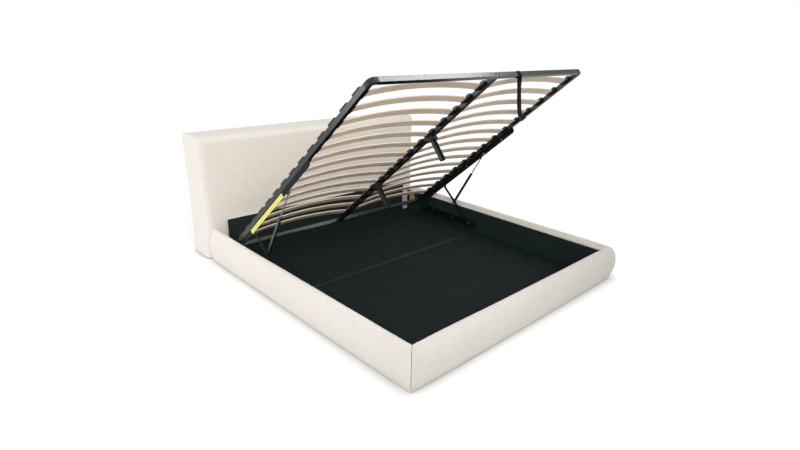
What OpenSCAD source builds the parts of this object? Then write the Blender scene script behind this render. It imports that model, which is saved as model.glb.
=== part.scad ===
// Storage bed: a padded carcass whose slatted platform lifts on two gas struts.
// Lengths are in millimetres and angles in degrees. +Z is up and the head end is at +Y.
// The bed is drawn open. Places along the bed are measured from the foot lining (y = 0)
// and places across it from the middle (x = 0). Mechanism parts are drawn for the right
// side and mirrored for the left.

/* [Mattress space] */
// Width between the side linings
inner_w = 1830; // [1430:10:2030]
// Length from the foot lining to the headboard
inner_len = 2050; // [1950:10:2150]

/* [Padded rails] */
// Height of the crest of a padded rail
rail_h = 239; // [229:1:270]
// Height of the sewn lip along the storage space
rail_lip_h = 200; // [196:1:215]
// How far a padded rail swells out from the lining
rail_out = 83; // [72:1:110]
// Height at which a padded rail is widest
rail_belly_h = 115; // [90:1:140]
// How far the crest lies out from the lining
rail_crest_out = 31; // [24:1:40]
// How far the underside of a rail is drawn in from its widest point
rail_tuck = 15; // [5:1:25]
// Gap at each mitre seam
mitre_gap = 0.4; // [0.2:0.1:1]

/* [Boards and linings] */
// Thickness of the rail boards
board_t = 18; // [15:1:20]
// Height of the top edge of the rail boards
board_top = 190; // [180:1:192]
// Thickness of the lining panels
lining_t = 2; // [1:0.5:3]
// Thickness of the floor panels
floor_t = 6; // [4:1:8]
// Thickness of the felt pads under the floor panels
pad_t = 4; // [3:1:6]
// Width of the strip over the joint of the floor panels
strip_w = 38; // [25:1:50]
// Thickness of the strip over the joint of the floor panels
strip_t = 3; // [2:0.5:4]
// Distance of the floor joint from the foot lining
floor_joint = 1170; // [1000:10:1190]
// Height of the dark panel across the head of the storage space
head_panel_h = 283; // [260:1:300]
// Distance of the head panel's ends from the side linings
head_panel_inset = 65; // [50:1:80]
// Thickness of the head panel
head_panel_t = 12; // [9:1:16]
// Gap left between neighbouring pieces that only lie against each other
fit_gap = 0.3; // [0.2:0.05:0.4]

/* [Headboard] */
// Overall width of the headboard
hb_w = 2000; // [1900:10:2100]
// Overall height of the headboard
hb_h = 897; // [800:1:1000]
// Overall depth of the headboard
hb_depth = 295; // [240:1:320]
// Rounding of the upright corners
hb_corner_r = 60; // [40:1:80]
// Rounding of the top edges
hb_top_r = 52; // [35:1:70]
// Crown of the padded front and back
hb_crown = 8; // [4:1:12]
// Thickness of the padding all round the timber frame
hb_pad = 52; // [50:1:70]
// Thickness of the thin padding on the headboard's back
hb_back_pad = 20; // [16:1:26]
// Side of the square timber of the headboard frame
hb_timber = 45; // [35:1:55]
// Thickness of the front board inside the headboard
hb_board_t = 9; // [6:1:12]
// Height of the clear space under the headboard cover
hb_lift = 6; // [4:1:10]
// Height of the black back cloth panel
hb_back_h = 560; // [400:10:700]

/* [Platform] */
// Angle of the open platform
open_angle = 39.5; // [38:0.1:41]
// Gap between the shut platform and the headboard
plat_head_gap = 42; // [38:1:60]
// Gap between the platform and each side lining
plat_side_gap = 15; // [14:1:20]
// Gap between the platform and the foot lining when it is shut
plat_foot_gap = 8; // [6:1:12]
// Height of the top of the shut platform's tubes
plat_shut_h = 218; // [215:1:225]
// Height of the platform's tubes
tube_h = 30; // [28:1:33]
// Width of the platform's tubes
tube_w = 25; // [20:1:30]
// Wall of the platform's tubes
tube_wall = 2; // [1.5:0.1:3]
// Width of the centre beam
beam_w = 32; // [25:1:40]
// Length of the corner elbows
elbow_len = 48; // [42:1:60]

/* [Slats] */
// Distance from row to row
slat_pitch = 130; // [120:1:134]
// Distance of the first row from the foot edge
slat_first = 127; // [110:1:130]
// Least distance of the last row from the head end
slat_last = 120; // [100:1:180]
// Width of a slat
slat_w = 53; // [45:1:60]
// Thickness of a slat
slat_t = 8; // [6:1:9]
// Rise of a slat at its middle
slat_bow = 30; // [20:1:34]
// Depth of a slat end in its holder
slat_grip = 25; // [20:1:28]
// How far a slat end lies below the top of the tubes
slat_drop = 10; // [7:1:12]
// Length of a slat holder along its tube
holder_len = 66; // [64:1:74]
// Height of a slat holder above the tube
holder_rise = 13; // [10:1:16]

/* [Support legs] */
// Length of a support leg below the centre beam; it ends a few millimetres above the floor panel
leg_len = 165; // [153:1:171]
// Distance of the first leg from the foot edge
leg_first = 662; // [600:1:700]
// Distance between the two legs
leg_pitch = 700; // [650:1:740]
// Width of a leg channel
leg_w = 34; // [28:1:40]
// Depth of a leg channel
leg_d = 22; // [18:1:26]
// Wall of a leg channel
leg_wall = 2; // [1.5:0.1:3]

/* [Lift mechanism] */
// Thickness of the base plates and mechanism rails
plate_t = 3; // [2.5:0.1:4]
// Depth of a mechanism rail below its tube
mech_drop = 33; // [31:1:37]
// Distance of the mechanism rail's rounded end from the head end
mech_reach = 1300; // [1250:1:1330]
// Distance of the mechanism rail's other end from the head end
mech_back = 60; // [40:1:70]
// Width of the flat foot of a mechanism rail
mech_foot = 22; // [18:1:25]
// Front arm pivot on the platform, from the head end
front_pivot_back = 380; // [370:1:390]
// Front arm pivot on the platform, below the top of the tubes
front_pivot_drop = 68; // [66:1:69]
// Rear arm pivot on the platform, from the head end
rear_pivot_back = 128; // [122:1:134]
// Rear arm pivot on the platform, below the top of the tubes
rear_pivot_drop = 58; // [56:1:60]
// Strut pivot on the platform, from the head end
strut_pivot_back = 953; // [930:1:970]
// Strut pivot on the platform, below the top of the tubes
strut_pivot_drop = 55; // [53:1:57]
// Height of the front pivot of the open platform
open_pivot_h = 334.6; // [330:0.1:340]
// Distance of the front pivot of the open platform from the headboard
open_pivot_back = 512.3; // [508:0.1:516]
// Height of the pivots on the base plate
base_pivot_h = 74.5; // [72:0.5:78]
// Width of the arms
arm_w = 20; // [18:1:24]
// Thickness of the arms
arm_t = 5; // [4:0.5:6]
// Diameter of the pivot pins
pin_d = 10; // [8:0.5:11]
// Running clearance of a pin in its bore, on the radius
pin_clear = 0.05; // [0.03:0.01:0.08]
// Distance of the strut's foot along the front arm
strut_foot = 225; // [215:1:235]
// Side play between the arms and the parts beside them
side_play = 0.5; // [0.3:0.1:1]

/* [Gas struts] */
// Length of the strut cylinder with its foot
cyl_len = 345; // [330:1:350]
// Outer diameter of the strut cylinder
cyl_d = 22; // [18:1:24]
// Wall of the strut cylinder
cyl_wall = 2; // [1.5:0.1:2.5]
// Diameter of the strut rod
rod_d = 9; // [8:0.5:10]
// Running clearance of the rod in its guide, on the radius
rod_clear = 0.05; // [0.03:0.01:0.1]
// Thickness of the strut's end eyes
eye_t = 10; // [8:1:12]
// Diameter of the strut's end eyes
eye_d = 18; // [17:1:20]

/* [Strap and strip] */
// Width of the pull strap
strap_w = 30; // [25:1:31]
// Thickness of the pull strap
strap_t = 2; // [1.5:0.5:3]
// Place of the strap on the foot bar, right of the middle
strap_bar_x = 200; // [150:10:300]
// Place of the strap on the side tube, from the foot edge
strap_side_s = 568; // [566:1:590]
// Sag of the free strap below a straight line
strap_sag = 85; // [50:5:95]
// Width of the plain yellow strip
yellow_w = 27; // [20:1:29]
// Start of the yellow strip from the head end
yellow_reach = 905; // [880:1:920]
// Thickness of the plain yellow strip
yellow_t = 0.6; // [0.4:0.1:1]
// Length of the yellow strip
yellow_len = 555; // [500:5:580]

/* [Hidden] */

$fn = 48;
overrun = 1;              // how far a cut runs past the faces it opens

half_in = inner_w / 2;
y_foot = -(inner_len + hb_depth - rail_out) / 2;   // centres the bed on its own length
hb_back = inner_len + hb_depth;
floor_top = pad_t + floor_t;
plat_half = half_in - plat_side_gap;
plat_len = inner_len - plat_foot_gap - plat_head_gap;
base_bend = 25;           // width of the flat leg of a base plate

// Directions along the open platform and square to it, as [y, z]
along = [cos(open_angle), -sin(open_angle)];
square_up = [sin(open_angle), cos(open_angle)];

front_s = plat_len - front_pivot_back;
rear_s = plat_len - rear_pivot_back;
strut_s = plat_len - strut_pivot_back;

// Place of a platform point on the open and the shut platform, as [y, z]
front_open = [inner_len - open_pivot_back, open_pivot_h];
plat_open = front_open - front_s * along + front_pivot_drop * square_up;
function open_place(s, drop) = plat_open + s * along - drop * square_up;
function shut_place(s, drop) = [plat_foot_gap + s, plat_shut_h - drop];

// A base pivot lies as far from the arm's upper end when open as when shut
function base_y(po, ps, h) =
    (po[0]^2 - ps[0]^2 + (po[1] - h)^2 - (ps[1] - h)^2) / (2 * (po[0] - ps[0]));
function tilt(a, b) = atan2(b[1] - a[1], b[0] - a[0]);

front_base = [base_y(front_open, shut_place(front_s, front_pivot_drop), base_pivot_h), base_pivot_h];
rear_open = open_place(rear_s, rear_pivot_drop);
rear_base = [base_y(rear_open, shut_place(rear_s, rear_pivot_drop), base_pivot_h), base_pivot_h];
front_tilt = tilt(front_base, front_open);
front_tilt_shut = tilt(front_base, shut_place(front_s, front_pivot_drop));
rear_tilt = tilt(rear_base, rear_open);
rear_tilt_shut = tilt(rear_base, shut_place(rear_s, rear_pivot_drop));
foot_open = front_base + strut_foot * [cos(front_tilt), sin(front_tilt)];
foot_shut = front_base + strut_foot * [cos(front_tilt_shut), sin(front_tilt_shut)];
strut_open = open_place(strut_s, strut_pivot_drop);
strut_shut = shut_place(strut_s, strut_pivot_drop);
strut_tilt = tilt(foot_open, strut_open);
strut_tilt_shut = tilt(foot_shut, strut_shut);
strut_len = norm(strut_open - foot_open);
strut_len_shut = norm(strut_shut - foot_shut);

// Layers across the mechanism, from the lining inwards, as x of the right side
plate_in = half_in - plate_t;
rail_in = plat_half - plate_t;
arm_out = rail_in - 2 * side_play;
arm_in = arm_out - arm_t;
eye_out = arm_in - 2 * side_play;
strut_x = eye_out - max(eye_t, cyl_d) / 2;
pin_head_t = 3;
pin_head_d = 17;

echo(front_base = front_base, rear_base = rear_base, plat_open = plat_open);
echo(front_open = front_open, rear_open = rear_open, foot_open = foot_open, strut_open = strut_open);
echo(front_swing = front_tilt - front_tilt_shut, rear_swing = rear_tilt - rear_tilt_shut);
echo(strut_turn = strut_tilt_shut - strut_tilt, stroke = strut_len - strut_len_shut, strut_x = strut_x);

// Colours
cream = "#EFEAE0";
lining_black = "#1D2425";
steel_black = "#2A3233";
birch = "#B9A48B";
pine = "#C49A5B";
plastic_black = "#20262A";
zinc = "#B8BCBC";
mdf = "#9B7B55";

// Placing
module on_bed() {
    translate([0, y_foot, 0]) children();
}
module on_side(side) {
    mirror([side < 0 ? 1 : 0, 0, 0]) on_bed() children();
}
module on_platform() {
    translate([0, y_foot + plat_open[0], plat_open[1]]) rotate([-open_angle, 0, 0]) children();
}
module on_platform_side(side) {
    mirror([side < 0 ? 1 : 0, 0, 0]) on_platform() children();
}
// A plate lying in the y-z plane, its outline drawn as [y, z]
module side_plate(x, t) {
    translate([x, 0, 0]) rotate([90, 0, 90]) linear_extrude(t) children();
}
// A round bar along x
module cross_bar(x, y, z, d, len) {
    translate([x, y, z]) rotate([0, 90, 0]) cylinder(d = d, h = len);
}
module block(x0, x1, y0, y1, z0, z1) {
    translate([x0, y0, z0]) cube([x1 - x0, y1 - y0, z1 - z0]);
}

// Carcass
cover_foot_h = pad_t;     // the cover's underside flap carries the board
board_bottom = cover_foot_h + fit_gap;
board_in = lining_t + fit_gap;
board_out = board_in + board_t;
cover_in = board_out + fit_gap;
arc_steps = 12;

// Outline of a padded rail as [distance out from the lining, height]
function rail_outline() = concat(
    [[board_in, 0], [board_in, cover_foot_h], [cover_in, cover_foot_h],
     [cover_in, board_top + fit_gap], [0, board_top + fit_gap]],
    [for (i = [0:arc_steps]) let (a = 90 * i / arc_steps)
        [rail_crest_out * (1 - cos(a)), rail_lip_h + (rail_h - rail_lip_h) * sin(a)]],
    [for (i = [1:arc_steps]) let (a = 90 * i / arc_steps)
        [rail_crest_out + (rail_out - rail_crest_out) * sin(a),
         rail_belly_h + (rail_h - rail_belly_h) * cos(a)]],
    [for (i = [1:arc_steps]) let (t = i / arc_steps)
        [rail_out - rail_tuck * t^2, rail_belly_h * (1 - t)]]
);
module side_board(side) {
    color(mdf) on_side(side)
        block(half_in + board_in, half_in + board_out, -board_out, inner_len - fit_gap,
              board_bottom, board_top);
}
module foot_board() {
    color(mdf) on_bed()
        block(-half_in - board_in + fit_gap, half_in + board_in - fit_gap, -board_out, -board_in,
              board_bottom, board_top);
}
// Half space beyond the mitre plane of the right foot corner: the foot's side, or the rail's side
module mitre_cut(foot_side) {
    translate([half_in, 0, -overrun]) rotate([0, 0, -45]) mirror([0, foot_side ? 1 : 0, 0])
        translate([-2 * inner_len, mitre_gap / -2, 0]) cube([4 * inner_len, 2 * inner_len, 2 * rail_h]);
}
module rail_cover(side) {
    color(cream) on_side(side) difference() {
        translate([half_in, inner_len - fit_gap, 0]) rotate([90, 0, 0])
            linear_extrude(inner_len + rail_out + overrun) polygon(rail_outline());
        mitre_cut(true);
    }
}
module foot_cover() {
    color(cream) on_bed() difference() {
        translate([-half_in - rail_out - overrun, 0, 0]) rotate([90, 0, 90]) mirror([1, 0, 0])
            linear_extrude(inner_w + 2 * (rail_out + overrun)) polygon(rail_outline());
        mitre_cut(false);
        mirror([1, 0, 0]) mitre_cut(false);
    }
}
module side_lining(side) {
    color(lining_black) on_side(side)
        block(half_in, half_in + lining_t, -lining_t, inner_len - fit_gap, floor_top, board_top);
}
module foot_lining() {
    color(lining_black) on_bed()
        block(-half_in + fit_gap, half_in - fit_gap, -lining_t, 0, floor_top, board_top);
}
head_front = inner_len - fit_gap - lining_t;
panel_front = head_front - head_panel_t;
module head_lining() {
    color(lining_black) on_bed()
        block(-half_in + fit_gap, half_in - fit_gap, head_front, head_front + lining_t, floor_top, board_top);
}
module head_panel() {
    color(lining_black) on_bed()
        block(-half_in + head_panel_inset, half_in - head_panel_inset, panel_front, head_front,
              floor_top, head_panel_h);
}
module floor_panel(y0, y1) {
    color(lining_black) on_bed()
        block(-half_in + fit_gap, half_in - fit_gap, y0, y1, pad_t, floor_top);
}
module floor_panel_foot() {
    floor_panel(fit_gap, floor_joint - fit_gap);
}
module floor_panel_head() {
    floor_panel(floor_joint + fit_gap, inner_len - fit_gap);
}
module floor_strip() {
    color("#3A4344") on_bed()
        block(-half_in + base_bend, half_in - base_bend, floor_joint - strip_w / 2,
              floor_joint + strip_w / 2, floor_top, floor_top + strip_t);
}
// Felt pads in rows under the floor panels
pad_d = 60;
pad_inset = 90;
module felt_pads() {
    color("#55504A") on_bed()
        for (x = [-half_in + pad_inset, 0, half_in - pad_inset])
            for (y = [pad_inset, floor_joint - pad_inset, floor_joint + pad_inset, inner_len - pad_inset])
                translate([x, y, 0]) cylinder(d = pad_d, h = pad_t);
}
// Light L plates that tie the head panel to the side linings
bracket_w = 45;
bracket_h = 80;
bracket_t = 3;
bracket_z = 64;
bracket_toe = 15;
module corner_brackets() {
    x0 = half_in - head_panel_inset - 10;
    color("#C9CCC6") for (side = [-1, 1]) on_side(side) {
        block(x0, x0 + bracket_w, panel_front - bracket_t, panel_front, bracket_z, bracket_z + bracket_h);
        block(x0 + bracket_w, half_in, panel_front - bracket_t, panel_front,
              bracket_z, bracket_z + bracket_toe);
    }
}
// Pine blocks on the side linings near the head
block_t = 13;
block_len = 56;
block_h = 70;
block_back = 108;
module corner_blocks() {
    color(pine) for (side = [-1, 1]) on_side(side)
        block(half_in - block_t, half_in, inner_len - block_back, inner_len - block_back + block_len,
              bracket_z + 26, bracket_z + 26 + block_h);
}

// Headboard
hb_cav_x = hb_w / 2 - hb_pad;
hb_cav_y0 = inner_len + hb_pad;
hb_cav_y1 = hb_back - hb_back_pad;
hb_cav_z1 = hb_h - hb_pad;
hb_back_t = 9;

// Rectangle with round corners, centred across and standing on y = 0
module round_top(w, h, r) {
    translate([-w / 2, 0]) square([w, h - r]);
    translate([-w / 2 + r, 0]) square([w - 2 * r, h]);
    for (side = [-1, 1]) translate([side * (w / 2 - r), h - r]) circle(r);
}
// Plan of the headboard: round corners and a slight crown front and back
corner_steps = 6;
crown_steps = 12;
hb_flat_x = hb_w / 2 - hb_corner_r;
function hb_crown_y(x) = hb_crown * ((x / hb_flat_x)^2 - 1);
// Front half of the plan, from the left to the right, with y = 0 at the corners' front
function hb_front() = concat(
    [for (i = [0:corner_steps - 1]) let (a = 90 * i / corner_steps)
        [-hb_flat_x - hb_corner_r * cos(a), hb_corner_r * (1 - sin(a))]],
    [for (i = [-crown_steps:crown_steps]) let (x = hb_flat_x * i / crown_steps) [x, hb_crown_y(x)]],
    [for (i = [corner_steps - 1:-1:0]) let (a = 90 * i / corner_steps)
        [hb_flat_x + hb_corner_r * cos(a), hb_corner_r * (1 - sin(a))]]
);
function hb_plan() = concat(hb_front(),
    [for (i = [len(hb_front()) - 1:-1:0]) [hb_front()[i][0], hb_depth - 2 * hb_crown - hb_front()[i][1]]]);
module headboard_cover() {
    color(cream) on_bed() difference() {
        intersection() {
            translate([0, inner_len + hb_crown, hb_lift]) linear_extrude(hb_h) polygon(hb_plan());
            translate([0, hb_back + overrun, 0]) rotate([90, 0, 0])
                linear_extrude(hb_depth + 2 * overrun) round_top(hb_w, hb_h, hb_top_r);
            translate([-hb_w / 2 - overrun, inner_len + hb_depth / 2, 0]) rotate([90, 0, 90])
                linear_extrude(hb_w + 2 * overrun) round_top(hb_depth, hb_h, hb_top_r);
        }
        block(-hb_cav_x, hb_cav_x, hb_cav_y0, hb_cav_y1, 0, hb_cav_z1);
        block(-hb_cav_x, hb_cav_x, hb_cav_y1 - overrun, hb_back + overrun, 0, hb_lift + hb_back_h);
    }
}
// Timber frame: a post at each end with a top and a bottom rail between them
module headboard_timbers() {
    x1 = hb_cav_x - fit_gap;
    y0 = hb_cav_y0 + hb_board_t + 2 * fit_gap;
    y1 = hb_cav_y1 - fit_gap;
    z1 = hb_cav_z1 - fit_gap;
    color(pine) on_bed() {
        for (side = [-1, 1]) mirror([side < 0 ? 1 : 0, 0, 0])
            block(x1 - hb_timber, x1, y0, y1, hb_lift, z1);
        for (z = [hb_lift, z1 - hb_timber])
            block(-x1 + hb_timber + fit_gap, x1 - hb_timber - fit_gap, y0, y1, z, z + hb_timber);
    }
}
module headboard_board() {
    color(mdf) on_bed()
        block(-hb_cav_x + fit_gap, hb_cav_x - fit_gap, hb_cav_y0 + fit_gap,
              hb_cav_y0 + fit_gap + hb_board_t, hb_lift, hb_cav_z1 - fit_gap);
}
module headboard_back() {
    color(lining_black) on_bed()
        block(-hb_cav_x + fit_gap, hb_cav_x - fit_gap, hb_cav_y1, hb_cav_y1 + hb_back_t,
              hb_lift, hb_lift + hb_back_h - fit_gap);
}
// A glide under each round corner of the headboard
glide_d = 34;
glide_in = 10;            // distance of a glide's edge from the corner's edge
glide_offset = (hb_corner_r - glide_in - glide_d / 2) / sqrt(2);
module headboard_glides() {
    y0 = inner_len + hb_crown + hb_corner_r;
    y1 = hb_back - hb_crown - hb_corner_r;
    color(plastic_black) on_bed()
        for (side = [-1, 1]) for (y = [y0 - glide_offset, y1 + glide_offset])
            translate([side * (hb_flat_x + glide_offset), y, 0]) cylinder(d = glide_d, h = hb_lift);
}

// Lift mechanism on the carcass
plate_half_h = 25;
plate_foot_reach = 70;
plate_head_reach = 45;
plate_top = base_pivot_h + plate_half_h;
plate_bottom = base_pivot_h - plate_half_h;
plate_y0 = front_base[0] - plate_foot_reach;
plate_y1 = rear_base[0] + plate_head_reach;
base_bolt_foot = 42;
base_bolt_mid = 205;
base_bolt_rear = 85;
base_bolt_y = [front_base[0] - base_bolt_foot, front_base[0] + base_bolt_mid,
               rear_base[0] - base_bolt_rear];
base_bolt_d = 14;
base_bolt_h = 4;

module base_plate(side) {
    color(steel_black) on_side(side) difference() {
        union() {
            block(plate_in, half_in, plate_y0, plate_y1, plate_bottom, plate_top);
            block(half_in - base_bend, plate_in, plate_y0, plate_y1, plate_bottom, plate_bottom + plate_t);
        }
        for (p = [front_base, rear_base])
            cross_bar(plate_in - overrun, p[0], p[1], pin_d + 2 * fit_gap, plate_t + 2 * overrun);
    }
}
// Pivot posts: a shouldered pin from the base plate through the arm
module base_post(p) {
    cross_bar(arm_in - side_play - pin_head_t, p[0], p[1], pin_head_d, pin_head_t);
    cross_bar(arm_in - side_play, p[0], p[1], pin_d, plate_in - arm_in + side_play + plate_t - fit_gap);
    cross_bar(arm_out + side_play, p[0], p[1], pin_head_d, plate_in - arm_out - side_play - fit_gap);
}
module base_posts() {
    color(zinc) for (side = [-1, 1]) on_side(side) {
        base_post(front_base);
        base_post(rear_base);
    }
}
module base_bolts() {
    color(zinc) for (side = [-1, 1]) on_side(side) for (y = base_bolt_y)
        cross_bar(plate_in - base_bolt_h - fit_gap, y, base_pivot_h, base_bolt_d, base_bolt_h);
}
// Flat arm with round ends, from a to b, as [y, z]
module arm_outline(len, bores) {
    difference() {
        union() {
            translate([0, -arm_w / 2]) square([len, arm_w]);
            circle(d = arm_w);
            translate([len, 0]) circle(d = arm_w);
        }
        for (p = bores) translate([p, 0]) circle(d = pin_d + 2 * pin_clear);
    }
}
module front_arm(side) {
    len = norm(front_open - front_base);
    color(steel_black) on_side(side) translate([0, front_base[0], front_base[1]])
        rotate([front_tilt, 0, 0]) {
            side_plate(arm_in, arm_t) arm_outline(len, [0, len]);
            // Stud that carries the strut's foot
            cross_bar(strut_x - eye_t / 2 - side_play - pin_head_t, strut_foot, 0, pin_head_d, pin_head_t);
            cross_bar(strut_x - eye_t / 2 - side_play - pin_head_t, strut_foot, 0, pin_d,
                      arm_in - strut_x + eye_t / 2 + side_play + pin_head_t + overrun);
        }
}
module rear_arm(side) {
    len = norm(rear_open - rear_base);
    color(steel_black) on_side(side) translate([0, rear_base[0], rear_base[1]])
        rotate([rear_tilt, 0, 0]) {
            side_plate(arm_in, arm_t) arm_outline(len, [0]);
            // Bolt of the upper pivot: it ends just short of the mechanism rail
            cross_bar(arm_in - pin_head_t, len, 0, pin_head_d, pin_head_t);
            cross_bar(arm_in - pin_head_t, len, 0, pin_d, rail_in - arm_in + pin_head_t - fit_gap);
        }
}

// Gas struts: local y runs up the strut from its foot
rod_guide_len = 14;
piston_len = 16;
rod_in = 40;              // length of rod left inside the open cylinder
foot_cap = 26;
module on_strut(side) {
    on_side(side) translate([strut_x, foot_open[0], foot_open[1]]) rotate([strut_tilt, 0, 0]) children();
}
module turned(y0, d, len) {
    translate([0, y0, 0]) rotate([-90, 0, 0]) cylinder(d = d, h = len);
}
module strut_cylinder(side) {
    color("#0F1112") on_strut(side) difference() {
        union() {
            cross_bar(-eye_t / 2, 0, 0, eye_d, eye_t);
            turned(0, eye_t - 1, foot_cap);
            turned(eye_d / 2 + 6, cyl_d, cyl_len - eye_d / 2 - 6);
        }
        cross_bar(-eye_t / 2 - overrun, 0, 0, pin_d + 2 * pin_clear, eye_t + 2 * overrun);
        turned(foot_cap, cyl_d - 2 * cyl_wall, cyl_len - foot_cap - rod_guide_len);
        turned(cyl_len - rod_guide_len - overrun, rod_d + 2 * rod_clear, rod_guide_len + 2 * overrun);
    }
}
module strut_rod(side) {
    color("#C8CCCE") on_strut(side) difference() {
        union() {
            turned(cyl_len - rod_in, rod_d, strut_len - cyl_len + rod_in);
            turned(cyl_len - rod_in, cyl_d - 2 * cyl_wall - 2 * fit_gap, piston_len);
            cross_bar(-eye_t / 2, strut_len, 0, eye_d, eye_t);
            turned(strut_len - 30, rod_d + 4, 24);
            // Bolt of the upper pivot: it ends just short of the mechanism rail
            cross_bar(-eye_t / 2 - pin_head_t, strut_len, 0, pin_head_d - 2, pin_head_t);
            cross_bar(-eye_t / 2, strut_len, 0, pin_d, rail_in - strut_x + eye_t / 2 - fit_gap);
        }
    }
}

// Platform: y runs from the foot edge to the head, z is square to it and 0 at the tubes' top
mech_start = plat_len - mech_reach;
mech_end = plat_len - mech_back;
rear_sweep = 60;          // length that the flat foot leaves free for the rear arm
mech_round = 24;          // radius of the rounded end
// Rounded ears that carry the pivots: place, drop and radius of each
mech_ears = [[front_s, front_pivot_drop, 14], [rear_s, rear_pivot_drop, 13], [strut_s, strut_pivot_drop, 12]];
module mechanism_rail(side) {
    r = mech_round;
    low = -tube_h - mech_drop;
    color(steel_black) on_platform_side(side) {
        difference() {
            union() {
                block(rail_in, plat_half, mech_start + r, mech_end, low, -tube_h);
                block(rail_in, plat_half, mech_start, mech_start + r, low + r, -tube_h);
                intersection() {
                    cross_bar(rail_in, mech_start + r, low + r, 2 * r, plate_t);
                    block(rail_in - overrun, plat_half + overrun, mech_start - overrun, mech_start + r,
                          low - overrun, -tube_h - fit_gap);
                }
                for (e = mech_ears) {
                    cross_bar(rail_in, e[0], -e[1], 2 * e[2], plate_t);
                    if (-e[1] < low) block(rail_in, plat_half, e[0] - e[2], e[0] + e[2], -e[1], low + 1);
                }
            }
            cross_bar(rail_in - overrun, front_s, -front_pivot_drop,
                      pin_d + 2 * fit_gap, plate_t + 2 * overrun);
        }
        block(rail_in - mech_foot, rail_in, mech_start + r, rear_s - rear_sweep, -tube_h - plate_t, -tube_h);
    }
}
mech_bolt_in = 140;
mech_bolt_step = 445;
mech_bolt_rear = 90;
mech_bolt_s = [mech_start + mech_bolt_in, mech_start + mech_bolt_in + mech_bolt_step,
               rear_s - mech_bolt_rear];
mech_bolt_drop = 17;
mech_bolt_d = 11;
mech_bolt_h = 3;
module mechanism_bolts() {
    color(zinc) for (side = [-1, 1]) on_platform_side(side) for (s = mech_bolt_s)
        cross_bar(rail_in - mech_bolt_h - fit_gap, s, -tube_h - mech_bolt_drop, mech_bolt_d, mech_bolt_h);
}
// Pins of the front arms' upper pivots, fixed to the mechanism rails
module platform_pins() {
    color(zinc) for (side = [-1, 1]) on_platform_side(side) {
        cross_bar(arm_in - side_play - pin_head_t, front_s, -front_pivot_drop, pin_head_d, pin_head_t);
        cross_bar(arm_in - side_play, front_s, -front_pivot_drop, pin_d, plat_half - arm_in + side_play);
    }
}
module tube_x(x0, x1, s0, w, h) {
    difference() {
        block(x0, x1, s0, s0 + w, -h, 0);
        block(x0 - overrun, x1 + overrun, s0 + tube_wall, s0 + w - tube_wall, -h + tube_wall, -tube_wall);
    }
}
module tube_y(x0, w, s0, s1, h) {
    difference() {
        block(x0, x0 + w, s0, s1, -h, 0);
        block(x0 + tube_wall, x0 + w - tube_wall, s0 - overrun, s1 + overrun, -h + tube_wall, -tube_wall);
    }
}
module side_tube(side) {
    color(steel_black) on_platform_side(side)
        tube_y(plat_half - tube_w, tube_w, elbow_len, plat_len, tube_h);
}
module foot_bar() {
    color(steel_black) on_platform()
        tube_x(-plat_half + elbow_len, plat_half - elbow_len, 0, tube_w, tube_h);
}
module head_bar() {
    color(steel_black) on_platform()
        tube_x(-plat_half + tube_w, plat_half - tube_w, plat_len - tube_w, tube_w, tube_h);
}
module centre_beam() {
    color(steel_black) on_platform()
        tube_y(-beam_w / 2, beam_w, tube_w, plat_len - tube_w, tube_h);
}
// Solid cast corner: straight stubs joined by a round bend
elbow_r = 34;
elbow_steps = 6;
function bend(r) = [for (i = [0:elbow_steps]) let (a = 90 * i / elbow_steps)
    [elbow_len - elbow_r + r * sin(a), elbow_r - r * cos(a)]];
module foot_elbow(side) {
    color(plastic_black) on_platform_side(side) translate([plat_half - elbow_len, 0, -tube_h])
        linear_extrude(tube_h) polygon(concat(
            [[0, 0]], bend(elbow_r), [[elbow_len, elbow_len], [elbow_len - tube_w, elbow_len]],
            reversed(bend(elbow_r - tube_w)), [[0, tube_w]]));
}

// Slats and their holders
slat_rows = floor((plat_len - slat_last - slat_first) / slat_pitch) + 1;
function row_s(i) = slat_first + i * slat_pitch;
pocket_play = 0.4;
holder_in = slat_grip + 4;                 // how far a holder reaches past its tube
slat_x0 = beam_w / 2 + 3;
slat_x1 = plat_half - tube_w - 3;
arch_x0 = slat_x0 + slat_grip;
arch_x1 = slat_x1 - slat_grip;
slat_steps = 14;
function arch(t) = slat_bow * (1 - (2 * t - 1)^2);
function slat_line(z) = concat([[slat_x0, z]],
    [for (i = [0:slat_steps]) let (t = i / slat_steps) [arch_x0 + (arch_x1 - arch_x0) * t, z + arch(t)]],
    [[slat_x1, z]]);
function reversed(v) = [for (i = [len(v) - 1:-1:0]) v[i]];
module slats(side) {
    color(birch) on_platform_side(side) for (i = [0:slat_rows - 1])
        translate([0, row_s(i) + slat_w / 2, 0]) rotate([90, 0, 0]) linear_extrude(slat_w)
            polygon(concat(slat_line(-slat_drop), reversed(slat_line(-slat_drop + slat_t))));
}
// Pocket that takes a slat end, cut from a holder
module pocket(x0, x1, s) {
    block(x0, x1, s - slat_w / 2 - pocket_play, s + slat_w / 2 + pocket_play,
          -slat_drop - pocket_play, -slat_drop + slat_t + pocket_play);
}
module holder_body(s) {
    translate([0, s + holder_len / 2, 0]) rotate([90, 0, 0]) linear_extrude(holder_len) children();
}
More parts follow.
